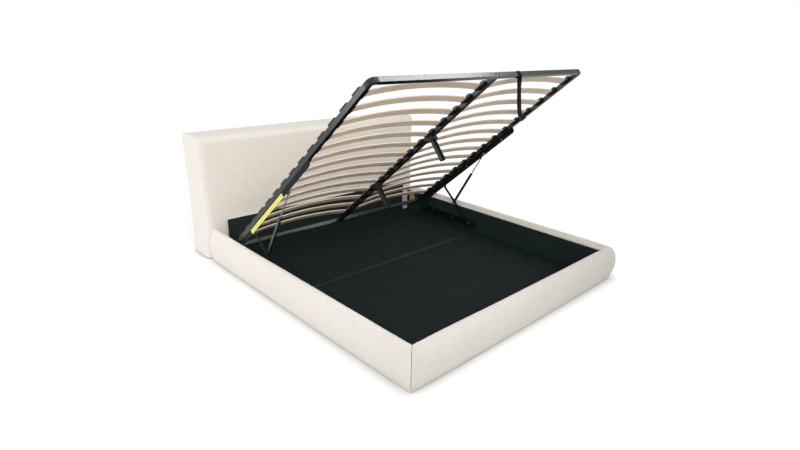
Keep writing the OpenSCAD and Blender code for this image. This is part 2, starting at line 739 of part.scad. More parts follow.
// A holder's lowest height, and its height where the slat goes in
holder_low = -slat_drop - 5;
holder_nose = -slat_drop + slat_t + pocket_play + 3;
module slat_caps(side) {
    x0 = plat_half - tube_w - holder_in;
    color(plastic_black) on_platform_side(side) for (i = [0:slat_rows - 1]) difference() {
        holder_body(row_s(i)) polygon([
            [x0, holder_low], [plat_half, holder_low], [plat_half, holder_rise - 4],
            [plat_half - 6, holder_rise], [x0 + holder_in - 2, holder_rise], [x0, holder_nose]]);
        pocket(x0 - overrun, slat_x1 + pocket_play, row_s(i));
        block(plat_half - tube_w - fit_gap, plat_half + overrun, row_s(i) - holder_len,
              row_s(i) + holder_len, -slat_drop - 10, fit_gap);
    }
}
module centre_holders() {
    reach = beam_w / 2 + holder_in;
    color(plastic_black) on_platform() for (i = [0:slat_rows - 1]) difference() {
        holder_body(row_s(i)) polygon([
            [-reach, holder_low], [reach, holder_low], [reach, holder_nose], [beam_w / 2 + 2, holder_rise],
            [-beam_w / 2 - 2, holder_rise], [-reach, holder_nose]]);
        for (side = [-1, 1]) mirror([side < 0 ? 1 : 0, 0, 0])
            pocket(slat_x0 - pocket_play, reach + overrun, row_s(i));
        block(-beam_w / 2 - fit_gap, beam_w / 2 + fit_gap, row_s(i) - holder_len,
              row_s(i) + holder_len, -slat_drop - 10, fit_gap);
    }
}

// Support legs of the centre beam
leg_s = [leg_first, leg_first + leg_pitch];
bracket_block_h = 20;
foot_pad_t = 2;
module leg_brackets() {
    color(plastic_black) on_platform() for (s = leg_s) difference() {
        block(-leg_w / 2 - 8, leg_w / 2 + 8, s - leg_d / 2 - 14, s + leg_d / 2 + 14,
              -tube_h - bracket_block_h, -tube_h + 12);
        block(-beam_w / 2 - fit_gap, beam_w / 2 + fit_gap, s - 60, s + 60, -tube_h, 0);
        block(-leg_w / 2 - fit_gap, leg_w / 2 + fit_gap, s - leg_d / 2 - fit_gap, s + leg_d / 2 + fit_gap,
              -tube_h - bracket_block_h - overrun, -tube_h);
    }
}
module support_legs() {
    color("#3B4446") on_platform() for (s = leg_s) difference() {
        block(-leg_w / 2, leg_w / 2, s - leg_d / 2, s + leg_d / 2, -tube_h - leg_len, -tube_h - fit_gap);
        block(-leg_w / 2 + leg_wall, leg_w / 2 - leg_wall, s - leg_d / 2 - overrun,
              s + leg_d / 2 - leg_wall, -tube_h - leg_len - overrun, -tube_h + overrun);
    }
}
module leg_feet() {
    color(plastic_black) on_platform() for (s = leg_s)
        block(-leg_w / 2, leg_w / 2, s - leg_d / 2, s + leg_d / 2,
              -tube_h - leg_len - foot_pad_t, -tube_h - leg_len);
}

// Pull strap: a loop on the foot bar, a free stretch and a loop on the right side tube
loop_play = 0.4;
strap_steps = 16;
strap_from = [strap_bar_x + strap_w / 2, tube_w / 2, -tube_h - loop_play - strap_t / 2];
strap_to = [plat_half - tube_w - loop_play - strap_t / 2, strap_side_s, -tube_h / 2];
// Sag points down in the room, given in the platform's own directions
strap_down = [0, sin(open_angle), -cos(open_angle)];
function strap_point(t) = strap_from + (strap_to - strap_from) * t + strap_down * strap_sag * 4 * t * (1 - t);
strap_run = strap_to - strap_from;
strap_side = [strap_run[1], -strap_run[0], 0] / norm([strap_run[0], strap_run[1]]);
// Ring of webbing round a tube, before it is cut to the strap's width
module strap_ring(x0, x1, y0, y1) {
    difference() {
        block(x0 - strap_t, x1 + strap_t, y0 - strap_t, y1 + strap_t,
              -tube_h - loop_play - strap_t, loop_play + strap_t);
        block(x0, x1, y0, y1, -tube_h - loop_play, loop_play);
    }
}
module strap_free() {
    rings = [for (i = [0:strap_steps]) let (p = strap_point(i / strap_steps), w = strap_side * strap_w / 2)
        [p - w, p + w, p + w - [0, 0, strap_t], p - w - [0, 0, strap_t]]];
    points = [for (r = rings) for (p = r) p];
    sides = [for (i = [0:strap_steps - 1]) for (j = [0:3]) let (a = 4 * i + j, b = 4 * i + (j + 1) % 4)
        each [[a, a + 4, b], [b, a + 4, b + 4]]];
    last = 4 * strap_steps;
    polyhedron(points, concat([[0, 1, 2], [0, 2, 3]], sides,
                              [[last, last + 2, last + 1], [last, last + 3, last + 2]]));
}
module pull_strap() {
    color("#14181A") on_platform() {
        intersection() {
            strap_ring(0, 2 * strap_bar_x, -loop_play, tube_w + loop_play);
            block(strap_bar_x - strap_w / 2, strap_bar_x + strap_w / 2,
                  -tube_h, 2 * tube_h, -2 * tube_h, tube_h);
        }
        intersection() {
            strap_ring(plat_half - tube_w - loop_play, plat_half + loop_play, 0, 2 * strap_side_s);
            block(plat_half - 2 * tube_h, plat_half + tube_h, strap_side_s - strap_w / 2,
                  strap_side_s + strap_w / 2, -2 * tube_h, tube_h);
        }
        intersection() {
            strap_free();
            block(0, plat_half - tube_w - loop_play, 0, plat_len, -plat_len, 0);
        }
    }
}
module yellow_strip() {
    color("#ECE96A") on_platform_side(-1)
        block(plat_half, plat_half + yellow_t, plat_len - yellow_reach, plat_len - yellow_reach + yellow_len,
              -tube_h - mech_drop, -tube_h - mech_drop + yellow_w);
}
// Two screws in the foot bar and one bolt at the head bar, all on the centre beam
screw_d = 9;
screw_h = 2.5;
screw_side = 14;
beam_bolt_d = 12;
beam_bolt_h = 3;
beam_bolt_in = 20;
module frame_screws() {
    color(zinc) on_platform() {
        for (x = [-screw_side, screw_side]) translate([x, -fit_gap, -tube_h / 2]) rotate([90, 0, 0])
            cylinder(d = screw_d, h = screw_h);
        translate([0, plat_len - tube_w - beam_bolt_in, -tube_h - beam_bolt_h - fit_gap])
            cylinder(d = beam_bolt_d, h = beam_bolt_h);
    }
}

side_board(-1);  // side_board_left
side_board(1);  // side_board_right
foot_board();
rail_cover(-1);  // rail_cover_left
rail_cover(1);  // rail_cover_right
foot_cover();
side_lining(-1);  // side_lining_left
side_lining(1);  // side_lining_right
foot_lining();
head_lining();
head_panel();
floor_panel_foot();
floor_panel_head();
floor_strip();
felt_pads();
corner_brackets();
corner_blocks();
headboard_timbers();
headboard_board();
headboard_cover();
headboard_back();
headboard_glides();
base_plate(-1);  // base_plate_left
base_plate(1);  // base_plate_right
base_posts();
base_bolts();
front_arm(-1);  // front_arm_left
front_arm(1);  // front_arm_right
rear_arm(-1);  // rear_arm_left
rear_arm(1);  // rear_arm_right
strut_cylinder(-1);  // strut_cylinder_left
strut_cylinder(1);  // strut_cylinder_right
strut_rod(-1);  // strut_rod_left
strut_rod(1);  // strut_rod_right
mechanism_rail(-1);  // mechanism_rail_left
mechanism_rail(1);  // mechanism_rail_right
mechanism_bolts();
platform_pins();
side_tube(-1);  // side_tube_left
side_tube(1);  // side_tube_right
foot_bar();
head_bar();
centre_beam();
foot_elbow(-1);  // foot_elbow_left
foot_elbow(1);  // foot_elbow_right
slats(-1);  // slats_left
slats(1);  // slats_right
slat_caps(-1);  // slat_caps_left
slat_caps(1);  // slat_caps_right
centre_holders();
leg_brackets();
support_legs();
leg_feet();
pull_strap();
yellow_strip();
frame_screws();
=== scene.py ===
# %% [markdown]
# # Dressing a storage bed
# The bed's solids come in as a fixed frame, already in place and in metres. This lesson gives
# them their finishes and makes anew what solids can't show well: the padded looped cloth, the
# pull strap and a few trims.

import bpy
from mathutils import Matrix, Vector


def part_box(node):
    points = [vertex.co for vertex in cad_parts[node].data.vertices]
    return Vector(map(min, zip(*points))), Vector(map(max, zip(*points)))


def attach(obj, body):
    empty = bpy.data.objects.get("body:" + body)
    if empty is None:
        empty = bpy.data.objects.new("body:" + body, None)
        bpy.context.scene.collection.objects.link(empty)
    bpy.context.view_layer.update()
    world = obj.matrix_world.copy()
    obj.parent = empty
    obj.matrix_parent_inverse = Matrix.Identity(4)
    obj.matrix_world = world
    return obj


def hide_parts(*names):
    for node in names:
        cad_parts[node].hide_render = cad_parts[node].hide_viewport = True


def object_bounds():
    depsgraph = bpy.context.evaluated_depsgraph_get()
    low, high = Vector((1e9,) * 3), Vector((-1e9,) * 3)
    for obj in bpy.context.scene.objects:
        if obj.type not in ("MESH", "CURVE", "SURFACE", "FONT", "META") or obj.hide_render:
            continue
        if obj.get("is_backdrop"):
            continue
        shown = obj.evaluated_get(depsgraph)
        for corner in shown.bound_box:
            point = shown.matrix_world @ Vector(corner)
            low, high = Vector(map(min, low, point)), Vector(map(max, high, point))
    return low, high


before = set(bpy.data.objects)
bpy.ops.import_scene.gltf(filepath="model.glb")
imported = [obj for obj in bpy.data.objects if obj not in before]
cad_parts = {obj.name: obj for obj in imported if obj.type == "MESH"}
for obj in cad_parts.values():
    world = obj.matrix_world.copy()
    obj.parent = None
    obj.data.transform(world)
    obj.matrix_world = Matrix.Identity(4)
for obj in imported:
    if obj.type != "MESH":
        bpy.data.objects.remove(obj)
print("solids:", len(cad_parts))

# %% Tools, and the box of the solids
from math import copysign, cos, exp, hypot, pi, radians, sin, sqrt, tan

import bmesh
import bpy
import numpy as np
from mathutils import Matrix, Vector, noise

cad_box = [[float(v) for v in corner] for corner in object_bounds()]
MM = 0.001
scene = bpy.context.scene


def in_scene(name, data):
    """An object made from its data and linked to the scene."""
    made = bpy.data.objects.new(name, data)
    scene.collection.objects.link(made)
    return made


print("box of the solids:", cad_box)

# %% [markdown]
# ## The camera
# The picture was taken from the foot end's left, a little above the raised slats. A camera can
# be placed by eye until the lines agree, but here its place, turn and lens were worked out from
# the straight edges of the bed, so they are written as numbers. The middle of the lens isn't
# the middle of the picture, and the lens shift takes care of that.

# %% Camera from the picture's lines
wide_px, high_px = 800, 450
focal_px, lens_middle_x, lens_middle_y = 540.193, 444.104, 223.935
camera_place = Vector((-2.4470, -2.7520, 1.6119))
azimuth, elevation, roll = (radians(a) for a in (-46.6934, 19.4732, 2.2068))

level_share = cos(elevation)
backwards = Vector((sin(azimuth) * level_share, -cos(azimuth) * level_share,
                    sin(elevation)))
level_right = Vector((0, 0, 1)).cross(backwards).normalized()
level_up = backwards.cross(level_right)
right = level_right * cos(roll) + level_up * sin(roll)
up = level_up * cos(roll) - level_right * sin(roll)

camera_data = bpy.data.cameras.new("picture_camera")
camera_data.sensor_width = 36
camera_data.sensor_fit = "HORIZONTAL"
camera_data.lens = focal_px / wide_px * camera_data.sensor_width
camera_data.shift_x = (wide_px / 2 - lens_middle_x) / wide_px
camera_data.shift_y = (lens_middle_y - high_px / 2) / wide_px
camera = in_scene("picture_camera", camera_data)
camera.matrix_world = Matrix((
    (right.x, up.x, backwards.x, camera_place.x),
    (right.y, up.y, backwards.y, camera_place.y),
    (right.z, up.z, backwards.z, camera_place.z),
    (0, 0, 0, 1),
))
scene.camera = camera
print(f"lens {camera_data.lens:.2f} mm, shift {camera_data.shift_x:.4f}, {camera_data.shift_y:.4f}")

# %% [markdown]
# ## Two small helpers for finishes
# Colours on a screen are sRGB, while shaders work with linear light, so every hex colour goes
# through one function. Finishes are built from nodes, and one function adds a node with its
# settings and its links. That keeps each recipe short enough to read from top to bottom.

# %% Hex colour to linear, and a node with its links
def linear(hex_colour):
    """Linear colour with alpha from an sRGB hex value."""
    parts = [int(hex_colour.lstrip("#")[i:i + 2], 16) / 255 for i in (0, 2, 4)]
    return tuple(c / 12.92 if c <= 0.04045 else ((c + 0.055) / 1.055) ** 2.4 for c in parts) + (1.0,)


def add(tree, kind, links=None, values=None, **settings):
    """One shader node: settings are its own, values and links go to sockets by name or number."""
    made = tree.nodes.new("ShaderNode" + kind)
    for name, value in settings.items():
        setattr(made, name, value)
    for name, value in (values or {}).items():
        made.inputs[name].default_value = value
    for name, source in (links or {}).items():
        tree.links.new(getattr(source, "outputs", [source])[0], made.inputs[name])
    return made


def start_finish(name, colour, **shader):
    """A material with a plain shader. Returns it, its tree and the shader node."""
    finish = bpy.data.materials.new(name)
    finish.use_nodes = True
    finish.diffuse_color = linear(colour)
    tree = finish.node_tree
    shade = next(n for n in tree.nodes if n.type == "BSDF_PRINCIPLED")
    shade.inputs["Base Color"].default_value = linear(colour)
    for socket, value in shader.items():
        shade.inputs[socket.replace("_", " ")].default_value = value
    return finish, tree, shade


print("cream in linear light:", [round(c, 3) for c in linear("#EDE8DF")])

# %% [markdown]
# ## Floor, white surround and soft light
# The bed stands on white, with only a soft shadow close round its foot. A white floor under
# plain light never renders quite white, so the floor adds a little light of its own, but only
# for what the camera or a mirror sees. It adds less where the window already lights the floor,
# and an occlusion node takes the floor's light away where the bed stands close over it. The
# surround is white in the same way. A broad window on the left makes the left sides brightest,
# and a second one behind it gives the raised tubes their sheen. A gridded lamp lifts the
# headboard, and a narrow one is set where the foot bar mirrors it.

# %% Floor
def seen_directly(tree):
    """A node that is 1 where the camera, a mirror or glass looks, and 0 where light only bounces."""
    rays = add(tree, "LightPath").outputs
    seen = add(tree, "Math", {0: rays["Is Camera Ray"], 1: rays["Is Glossy Ray"]},
               operation="MAXIMUM")
    return add(tree, "Math", {0: seen, 1: rays["Is Transmission Ray"]}, operation="MAXIMUM")


half_floor = 30.0
floor_data = bpy.data.meshes.new("studio_floor")
floor_corners = [(x * half_floor, y * half_floor, 0) for x, y in ((-1, -1), (1, -1), (1, 1), (-1, 1))]
floor_data.from_pydata(floor_corners, [], [(0, 1, 2, 3)])
studio_floor = in_scene("studio_floor", floor_data)
studio_floor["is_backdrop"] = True

FLOOR_WHITE = "#F2F2F2"
glow_near, glow_far = 0.29, 0.48  # light of its own, near the window's pool of light and far away
window_pool = (-2.5, 0.6, 0.0)  # where the window's light on the floor is strongest
pool_inner, pool_outer = 1.0, 5.0  # it fades between these distances, in metres
contact_least = 0.4  # the share of light left where the bed touches the floor
contact_reach = 0.075  # how far from the bed its contact shadow goes, in metres
floor_paint, tree, shade = start_finish("white_floor", FLOOR_WHITE, Roughness=0.9)
tree.nodes.remove(shade)
spot = add(tree, "NewGeometry").outputs["Position"]
far = add(tree, "VectorMath", {0: spot}, {1: window_pool}, operation="DISTANCE")
glow = add(tree, "MapRange", {"Value": far.outputs["Value"]},
           {"From Min": pool_inner, "From Max": pool_outer, "To Min": glow_near, "To Max": glow_far},
           interpolation_type="SMOOTHSTEP")
glow = add(tree, "Math", {0: glow, 1: seen_directly(tree)}, operation="MULTIPLY")
open_share = add(tree, "AmbientOcclusion", values={"Distance": contact_reach}, samples=16)
open_share = add(tree, "MapRange", {"Value": open_share.outputs["AO"]}, {"To Min": contact_least})
glow = add(tree, "Math", {0: glow, 1: open_share}, operation="MULTIPLY")
# The floor's white colour is darkened by the same share near the bed: a painted contact shadow on top
# of the rendered one.
white = add(tree, "VectorMath", {"Scale": open_share},
            {0: linear(FLOOR_WHITE)[:3]}, operation="SCALE")
matt = add(tree, "BsdfDiffuse", {"Color": white})
own_light = add(tree, "Emission", {"Strength": glow}, {"Color": (1, 1, 1, 1)})
both = add(tree, "AddShader", {0: matt, 1: own_light})
out = next(n for n in tree.nodes if n.type == "OUTPUT_MATERIAL")
tree.links.new(both.outputs[0], out.inputs["Surface"])
floor_data.materials.append(floor_paint)
print(f"floor {2 * half_floor:.0f} m wide, its own light {glow_near} to {glow_far}")

# %% Surround
surround_light = 0.61  # what the surround gives the bed; seen directly it is 1, which is white
world = bpy.data.worlds.new("white_studio")
scene.world = world
world.use_nodes = True
tree = world.node_tree
level = add(tree, "MapRange", {"Value": seen_directly(tree)}, {"To Min": surround_light})
sky = next(n for n in tree.nodes if n.type == "BACKGROUND")
sky.inputs["Color"].default_value = (1, 1, 1, 1)
tree.links.new(level.outputs["Result"], sky.inputs["Strength"])
print("surround's strength:", surround_light)

# %% Lamps
def soft_lamp(name, place, aim, wide, high, power, spread=180, along=None, tint=(1, 1, 1)):
    """An area lamp that looks at a point, with sizes in metres and its power in watts.

    A small spread, in degrees, keeps its light together, and along turns its long side."""
    data = bpy.data.lights.new(name, "AREA")
    data.shape = "RECTANGLE"
    data.size, data.size_y = wide, high
    data.energy = power
    data.color = tint
    data.spread = radians(spread)
    lamp = in_scene(name, data)
    lamp.location = place
    away = (Vector(place) - Vector(aim)).normalized()
    if along is None:
        lamp.rotation_euler = away.to_track_quat("Z", "Y").to_euler()
    else:
        side = Vector(along) - away * away.dot(Vector(along))
        side.normalize()
        lamp.rotation_euler = Matrix((side, away.cross(side), away)).transposed().to_euler()
    return lamp


soft_lamp("window_left", (-5.2, 0.1, 2.3), (0, 0.2, 0.5), 3.5, 3.0, 40)
soft_lamp("window_back_left", (-4.3, 3.5, 1.3), (-0.9, 0.0, 0.6), 1.4, 1.8, 40)
soft_lamp("fill_headboard", (-2.2, -4.2, 3.6), (0.0, 0.95, 0.50), 2.5, 2.5, 14, spread=42,
          tint=(1.0, 0.985, 0.93))
soft_lamp("strip_over_bar", (2.17, -1.70, 4.31), (-0.55, -0.8, 1.4), 1.75, 0.5, 5.1, spread=50,
          along=(0.7, 0.21, -0.68))
scene.view_settings.view_transform = "Standard"

# %% [markdown]
# ## A grain for plain finishes
# Powder coat, moulded plastic, zinc, felt and wood look different, but each of them wanders a
# little between two colours and two roughnesses, at the size of its own grain. That could be
# painted as an image. Noise from the place in space needs no image and no unwrapping, so one
# recipe serves them all. Stretching the space turns round grains into the streaks of wood.

# %% A finish that wanders at the size of its grain
MIX_A, MIX_B, MIX_OUT = 6, 7, 2  # the colour sockets of a Mix node, which has a pair for each kind
NOISE_LOW, NOISE_HIGH = 0.3, 0.7  # most of a noise texture's values lie between these
open_angle = radians(39.5)  # how far the slatted platform is raised


def grained(name, light, dark, grain, depth, rough, stretch=(1, 1, 1), detail=3.0, **shader):
    """A material from two colours, a grain and a bump depth in metres, and two roughnesses."""
    finish, tree, shade = start_finish(name, light, **shader)
    where = add(tree, "TexCoord").outputs["Object"]
    where = add(tree, "VectorMath", {0: where}, {1: stretch}, operation="MULTIPLY")
    grains = add(tree, "TexNoise", {"Vector": where}, {"Scale": 1 / grain, "Detail": detail})
    spots = add(tree, "MapRange", {"Value": grains.outputs["Fac"]},
                {"From Min": NOISE_LOW, "From Max": NOISE_HIGH})
    paint = add(tree, "Mix", {"Factor": spots}, {MIX_A: linear(dark), MIX_B: linear(light)},
                data_type="RGBA")
    tree.links.new(paint.outputs[MIX_OUT], shade.inputs["Base Color"])
    dull = add(tree, "MapRange", {"Value": spots}, {"To Min": rough[1], "To Max": rough[0]})
    tree.links.new(dull.outputs[0], shade.inputs["Roughness"])
    bump = add(tree, "Bump", {"Height": grains.outputs["Fac"]},
               {"Strength": 0.6, "Distance": depth})
    tree.links.new(bump.outputs[0], shade.inputs["Normal"])
    return finish


print("open angle in radians:", round(open_angle, 4))

# %% [markdown]
# ## Looped cloth
# The rails and the headboard wear boucle, a cloth woven with a yarn of small loops, in cream
# wool and acrylic. It is soft and matt, it takes the light evenly, and its loops show as a fine
# mottled grain. Loops could be modelled one by one, but there are far too many, so a cell
# pattern lifts the surface instead, and its dips are painted a little darker, as painted shade
# between the loops. The loops are 5 mm across, which is less than a pixel here, so they are
# drawn 10 mm wide.

# %% The boucle finish
LOOP_DRAWN = 10 * MM  # 5 mm on the real cloth
LOOP_RISE = 3 * MM  # how far a drawn loop stands out
CLOUDS_PER_M = 2.5  # the yarn's colour drifts a little over each 40 cm
CREAM, CREAM_SHADE_IN_DIPS, CREAM_WARM = "#ECE7E1", "#E2DCD4", "#E9E4DB"

boucle, tree, shade = start_finish("boucle_cream_wool", CREAM, Roughness=0.95, Sheen_Weight=0.2,
                                   Sheen_Roughness=0.5, Specular_IOR_Level=0.25)
place = add(tree, "TexCoord").outputs["Object"]
stray = add(tree, "TexNoise", {"Vector": place}, {"Scale": 0.7 / LOOP_DRAWN, "Detail": 2.0})
shift = add(tree, "VectorMath", {0: stray.outputs["Color"]}, {1: (LOOP_DRAWN,) * 3},
            operation="MULTIPLY")
bent = add(tree, "VectorMath", {0: place, 1: shift}, operation="ADD")
loops = add(tree, "TexVoronoi", {"Vector": bent}, {"Scale": 1 / LOOP_DRAWN})
# Painted shade: the dips between the loops are mixed towards the darker cream.
dips = add(tree, "MapRange", {"Value": loops.outputs["Distance"]},
           {"From Min": 0.3, "From Max": 0.8, "To Max": 0.8})
broad = add(tree, "TexNoise", {"Vector": place}, {"Scale": CLOUDS_PER_M, "Detail": 2.0})
warm = add(tree, "MapRange", {"Value": broad.outputs["Fac"]},
           {"From Min": 0.35, "From Max": 0.75, "To Max": 0.5})
paint = add(tree, "Mix", {"Factor": warm},
            {MIX_A: linear(CREAM), MIX_B: linear(CREAM_WARM)}, data_type="RGBA")
paint = add(tree, "Mix", {"Factor": dips, MIX_A: paint.outputs[MIX_OUT]},
            {MIX_B: linear(CREAM_SHADE_IN_DIPS)}, data_type="RGBA")
tree.links.new(paint.outputs[MIX_OUT], shade.inputs["Base Color"])
bump = add(tree, "Bump", {"Height": loops.outputs["Distance"]},
           {"Strength": 0.45, "Distance": LOOP_RISE}, invert=True)
tree.links.new(bump.outputs[0], shade.inputs["Normal"])
print(f"loops drawn {LOOP_DRAWN / MM:.0f} mm wide")

# %% [markdown]
# ## Metal, plastic, wood and the rest
# The lift is welded steel tube with a satin black powder coat, which is faintly pebbled like
# orange peel. Its fasteners are zinc plated, the struts are lacquered tube with a chromed rod,
# and the holders are moulded polypropylene. The slats are bent from layers of birch. Each grain
# below is the real one where a pixel can show it, and is otherwise drawn coarser.

# %% Coated steel and plated steel
# Powder coat on steel: baked on, satin, with an orange peel of about 2 mm, drawn 5 mm.
steel = grained("powder_coat_satin_black", "#0F1919", "#0B1314", 5 * MM, 0.008 * MM, (0.20, 0.27),
                Specular_IOR_Level=0.32)
# The same coat on the mechanism's plates, as a shaded copy: its reflection is almost turned off.
plate_steel_shaded_copy = grained("powder_coat_dull_black", "#1E2829", "#192122", 5 * MM, 0.03 * MM, (0.34, 0.42),
                      Specular_IOR_Level=0.03)
# The legs' channel has the same coat, sprayed thinner, which leaves it greyer.
leg_steel = grained("powder_coat_thin_grey", "#262E30", "#1E2527", 5 * MM, 0.08 * MM, (0.34, 0.48))
# Light coat on the small brackets: matt cream-grey paint over sheet steel.
light_steel = grained("enamel_light_grey", "#CDD0C9", "#C2C5BE", 4 * MM, 0.05 * MM, (0.42, 0.55))
# Zinc plating: electroplated, bright but cloudy, its spangle 3 mm.
zinc = grained("zinc_plated_steel", "#C9CCCB", "#B0B4B4", 3 * MM, 0.03 * MM, (0.22, 0.38),
               Metallic=1.0)
# Chromed rod: ground and plated, almost a mirror.
chrome = grained("chromed_rod", "#8E9294", "#7F8385", 2 * MM, 0.005 * MM, (0.16, 0.24), Metallic=1.0)
# Lacquered strut tube: wet gloss black.
lacquer = grained("gloss_black_lacquer", "#101314", "#0B0D0E", 6 * MM, 0.02 * MM, (0.16, 0.24),
                  Coat_Weight=0.4, Coat_Roughness=0.1)
print("metals:", [m.name for m in (steel, plate_steel_shaded_copy, leg_steel, light_steel, zinc, chrome, lacquer)])

# %% Plastic, rubber, webbing and the plain strip
# Moulded polypropylene: a fine etched grain of 1 mm, drawn 3 mm, a little glossy.
plastic = grained("polypropylene_black", "#101819", "#0B1213", 3 * MM, 0.08 * MM, (0.42, 0.55),
                  IOR=1.49, Specular_IOR_Level=0.35)
# Rubber foot: matt and dull.
rubber = grained("rubber_matt_black", "#161818", "#0F1111", 3 * MM, 0.1 * MM, (0.75, 0.88), IOR=1.52)
# Woven polyester webbing: ribs run across it every 2 mm, drawn 4 mm.
webbing = grained("polyester_webbing_black", "#10181A", "#090D0E", 4 * MM, 0.5 * MM, (0.75, 0.88),
                  Specular_IOR_Level=0.1)
# Plain strip of coloured polythene film on the left mechanism rail, with a moulded groove along it.
yellow = grained("polythene_yellow", "#F0EE78", "#E6E36A", 12 * MM, 0.05 * MM, (0.32, 0.42))
tree = yellow.node_tree
shade = next(n for n in tree.nodes if n.type == "BSDF_PRINCIPLED")
GROOVE_AT = 535.4 * MM  # the groove's height, square to the platform
GROOVE_HALF = 2.2 * MM  # drawn 4 mm wide, 2 mm on the real strip
where = add(tree, "TexCoord").outputs["Object"]
flat = add(tree, "VectorRotate", {"Vector": where}, {"Angle": open_angle}, rotation_type="X_AXIS")
height = add(tree, "SeparateXYZ", {0: flat})
from_groove = add(tree, "Math", {0: height.outputs["Z"]}, {1: GROOVE_AT}, operation="SUBTRACT")
from_groove = add(tree, "Math", {0: from_groove}, operation="ABSOLUTE")
# Painted shade: the groove is mixed towards a darker yellow.
groove = add(tree, "MapRange", {"Value": from_groove},
             {"From Min": 0.6 * GROOVE_HALF, "From Max": GROOVE_HALF, "To Min": 1.0, "To Max": 0.0})
plain = shade.inputs["Base Color"].links[0].from_socket
paint = add(tree, "Mix", {"Factor": groove, MIX_A: plain},
            {MIX_B: linear("#A7A23C")}, data_type="RGBA")
tree.links.new(paint.outputs[MIX_OUT], shade.inputs["Base Color"])
print("plastics:", [m.name for m in (plastic, rubber, webbing, yellow)])

# %% Boards, felt and wood
# Laminated board: paper in dark resin, rolled smooth, with long faint streaks from handling.
# This copy is painted darker, as painted shade, since the floor panels get more light than the
# uprights.
laminate_painted_darker = grained("laminate_dark_green_grey", "#14201F", "#121D1D", 60 * MM, 0.02 * MM, (0.75, 0.85),
                   detail=5.0, Specular_IOR_Level=0.12)
# The same board on the upright panels, as a lighter copy: painted light, for they stand in deep shade.
lining = grained("laminate_green_grey_upright", "#22302F", "#1E2B2A", 60 * MM, 0.02 * MM, (0.7, 0.8),
                 detail=5.0, Specular_IOR_Level=0.15)
# Extruded joint strip over the floor panels: matt grey PVC.
joint_strip = grained("pvc_matt_grey", "#171E1E", "#131919", 8 * MM, 0.05 * MM, (0.5, 0.62),
                      Specular_IOR_Level=0.2)
# Pressed felt: short fibres, drawn 3 mm.
felt = grained("felt_pressed_grey", "#5A554F", "#48443F", 3 * MM, 0.4 * MM, (0.9, 0.97),
               Sheen_Weight=0.3)
# Fibreboard: fine dust and fibre in glue, drawn 3 mm.
fibreboard = grained("fibreboard_raw", "#9C7D58", "#8A6C48", 3 * MM, 0.1 * MM, (0.75, 0.9))
# Planed pine: straight grain, 5 mm from ring to ring.
pine = grained("pine_planed", "#CDA468", "#B98C50", 5 * MM, 0.15 * MM, (0.5, 0.65),
               stretch=(1, 0.06, 1))
print("finishes so far:", len(bpy.data.materials))

# %% [markdown]
# ## Bent birch
# A slat is made of thin birch layers glued over a mould, so it is bowed, its faces show long
# pale pores and its edges show the layers as fine lines. The grain runs along the slat, which
# lies across the bed. The lines at the edge would follow any straight pattern only on a flat
# slat, so the bow is taken off the height first and the lines bend with it. A layer is 1.3 mm
# thick.

# %% Birch with layers that follow the bow
SLAT_X0, SLAT_X1, SLAT_BOW = 44 * MM, 847 * MM, 30 * MM  # the bow's two ends and its rise
LAYER, SLAT_THICK = 1.3 * MM, 8 * MM
PORE, PORE_STRETCH = 7 * MM, (0.035, 1, 1)  # pores drawn 7 mm wide, 1 mm in real birch, and long
birch, tree, shade = start_finish("birch_bent_layers", "#CFC1AD", Roughness=0.5, IOR=1.5)
where = add(tree, "TexCoord").outputs["Object"]
flat = add(tree, "VectorRotate", {"Vector": where}, {"Angle": open_angle}, rotation_type="X_AXIS")
streak = add(tree, "VectorMath", {0: flat}, {1: PORE_STRETCH}, operation="MULTIPLY")
pores = add(tree, "TexNoise", {"Vector": streak},
            {"Scale": 1 / PORE, "Detail": 4.0, "Distortion": 0.3})
cloud = add(tree, "TexNoise", {"Vector": flat}, {"Scale": 3.0, "Detail": 1.0})
streaks = add(tree, "MapRange", {"Value": pores.outputs["Fac"]},
              {"From Min": 0.32, "From Max": 0.68})
tone = add(tree, "MapRange", {"Value": cloud.outputs["Fac"]},
           {"From Min": 0.35, "From Max": 0.7, "To Max": 0.6})
paint = add(tree, "Mix", {"Factor": streaks},
            {MIX_A: linear("#E0C9B0"), MIX_B: linear("#F3E3D0")}, data_type="RGBA")
paint = add(tree, "Mix", {"Factor": tone, MIX_A: paint.outputs[MIX_OUT]},
            {MIX_B: linear("#E8D1B7")}, data_type="RGBA")
split = add(tree, "SeparateXYZ", {0: flat})
across = add(tree, "Math", {0: split.outputs["X"]}, operation="ABSOLUTE")
share = add(tree, "MapRange", {"Value": across},
            {"From Min": SLAT_X0, "From Max": SLAT_X1, "To Min": -1.0, "To Max": 1.0})
square = add(tree, "Math", {0: share, 1: share}, operation="MULTIPLY")
level = add(tree, "Math", {0: square, 2: split.outputs["Z"]}, {1: SLAT_BOW},
            operation="MULTIPLY_ADD")
turns = add(tree, "Math", {0: level}, {1: pi / LAYER}, operation="MULTIPLY")
wave = add(tree, "Math", {0: turns}, operation="SINE")
glue = add(tree, "MapRange", {"Value": wave}, {"From Min": 0.2, "From Max": 0.9, "To Max": 0.45})
normal = add(tree, "TexCoord").outputs["Normal"]
tipped = add(tree, "VectorRotate", {"Vector": normal}, {"Angle": open_angle},
             rotation_type="X_AXIS")
facing = add(tree, "SeparateXYZ", {0: tipped})
at_edge = add(tree, "Math", {0: facing.outputs["Y"]}, operation="ABSOLUTE")
lines = add(tree, "Math", {0: at_edge, 1: glue}, operation="MULTIPLY")
paint = add(tree, "Mix", {"Factor": lines, MIX_A: paint.outputs[MIX_OUT]},
            {MIX_B: linear("#A08C74")}, data_type="RGBA")
tree.links.new(paint.outputs[MIX_OUT], shade.inputs["Base Color"])
bump = add(tree, "Bump", {"Height": pores.outputs["Fac"]}, {"Strength": 0.5, "Distance": 0.15 * MM})
tree.links.new(bump.outputs[0], shade.inputs["Normal"])
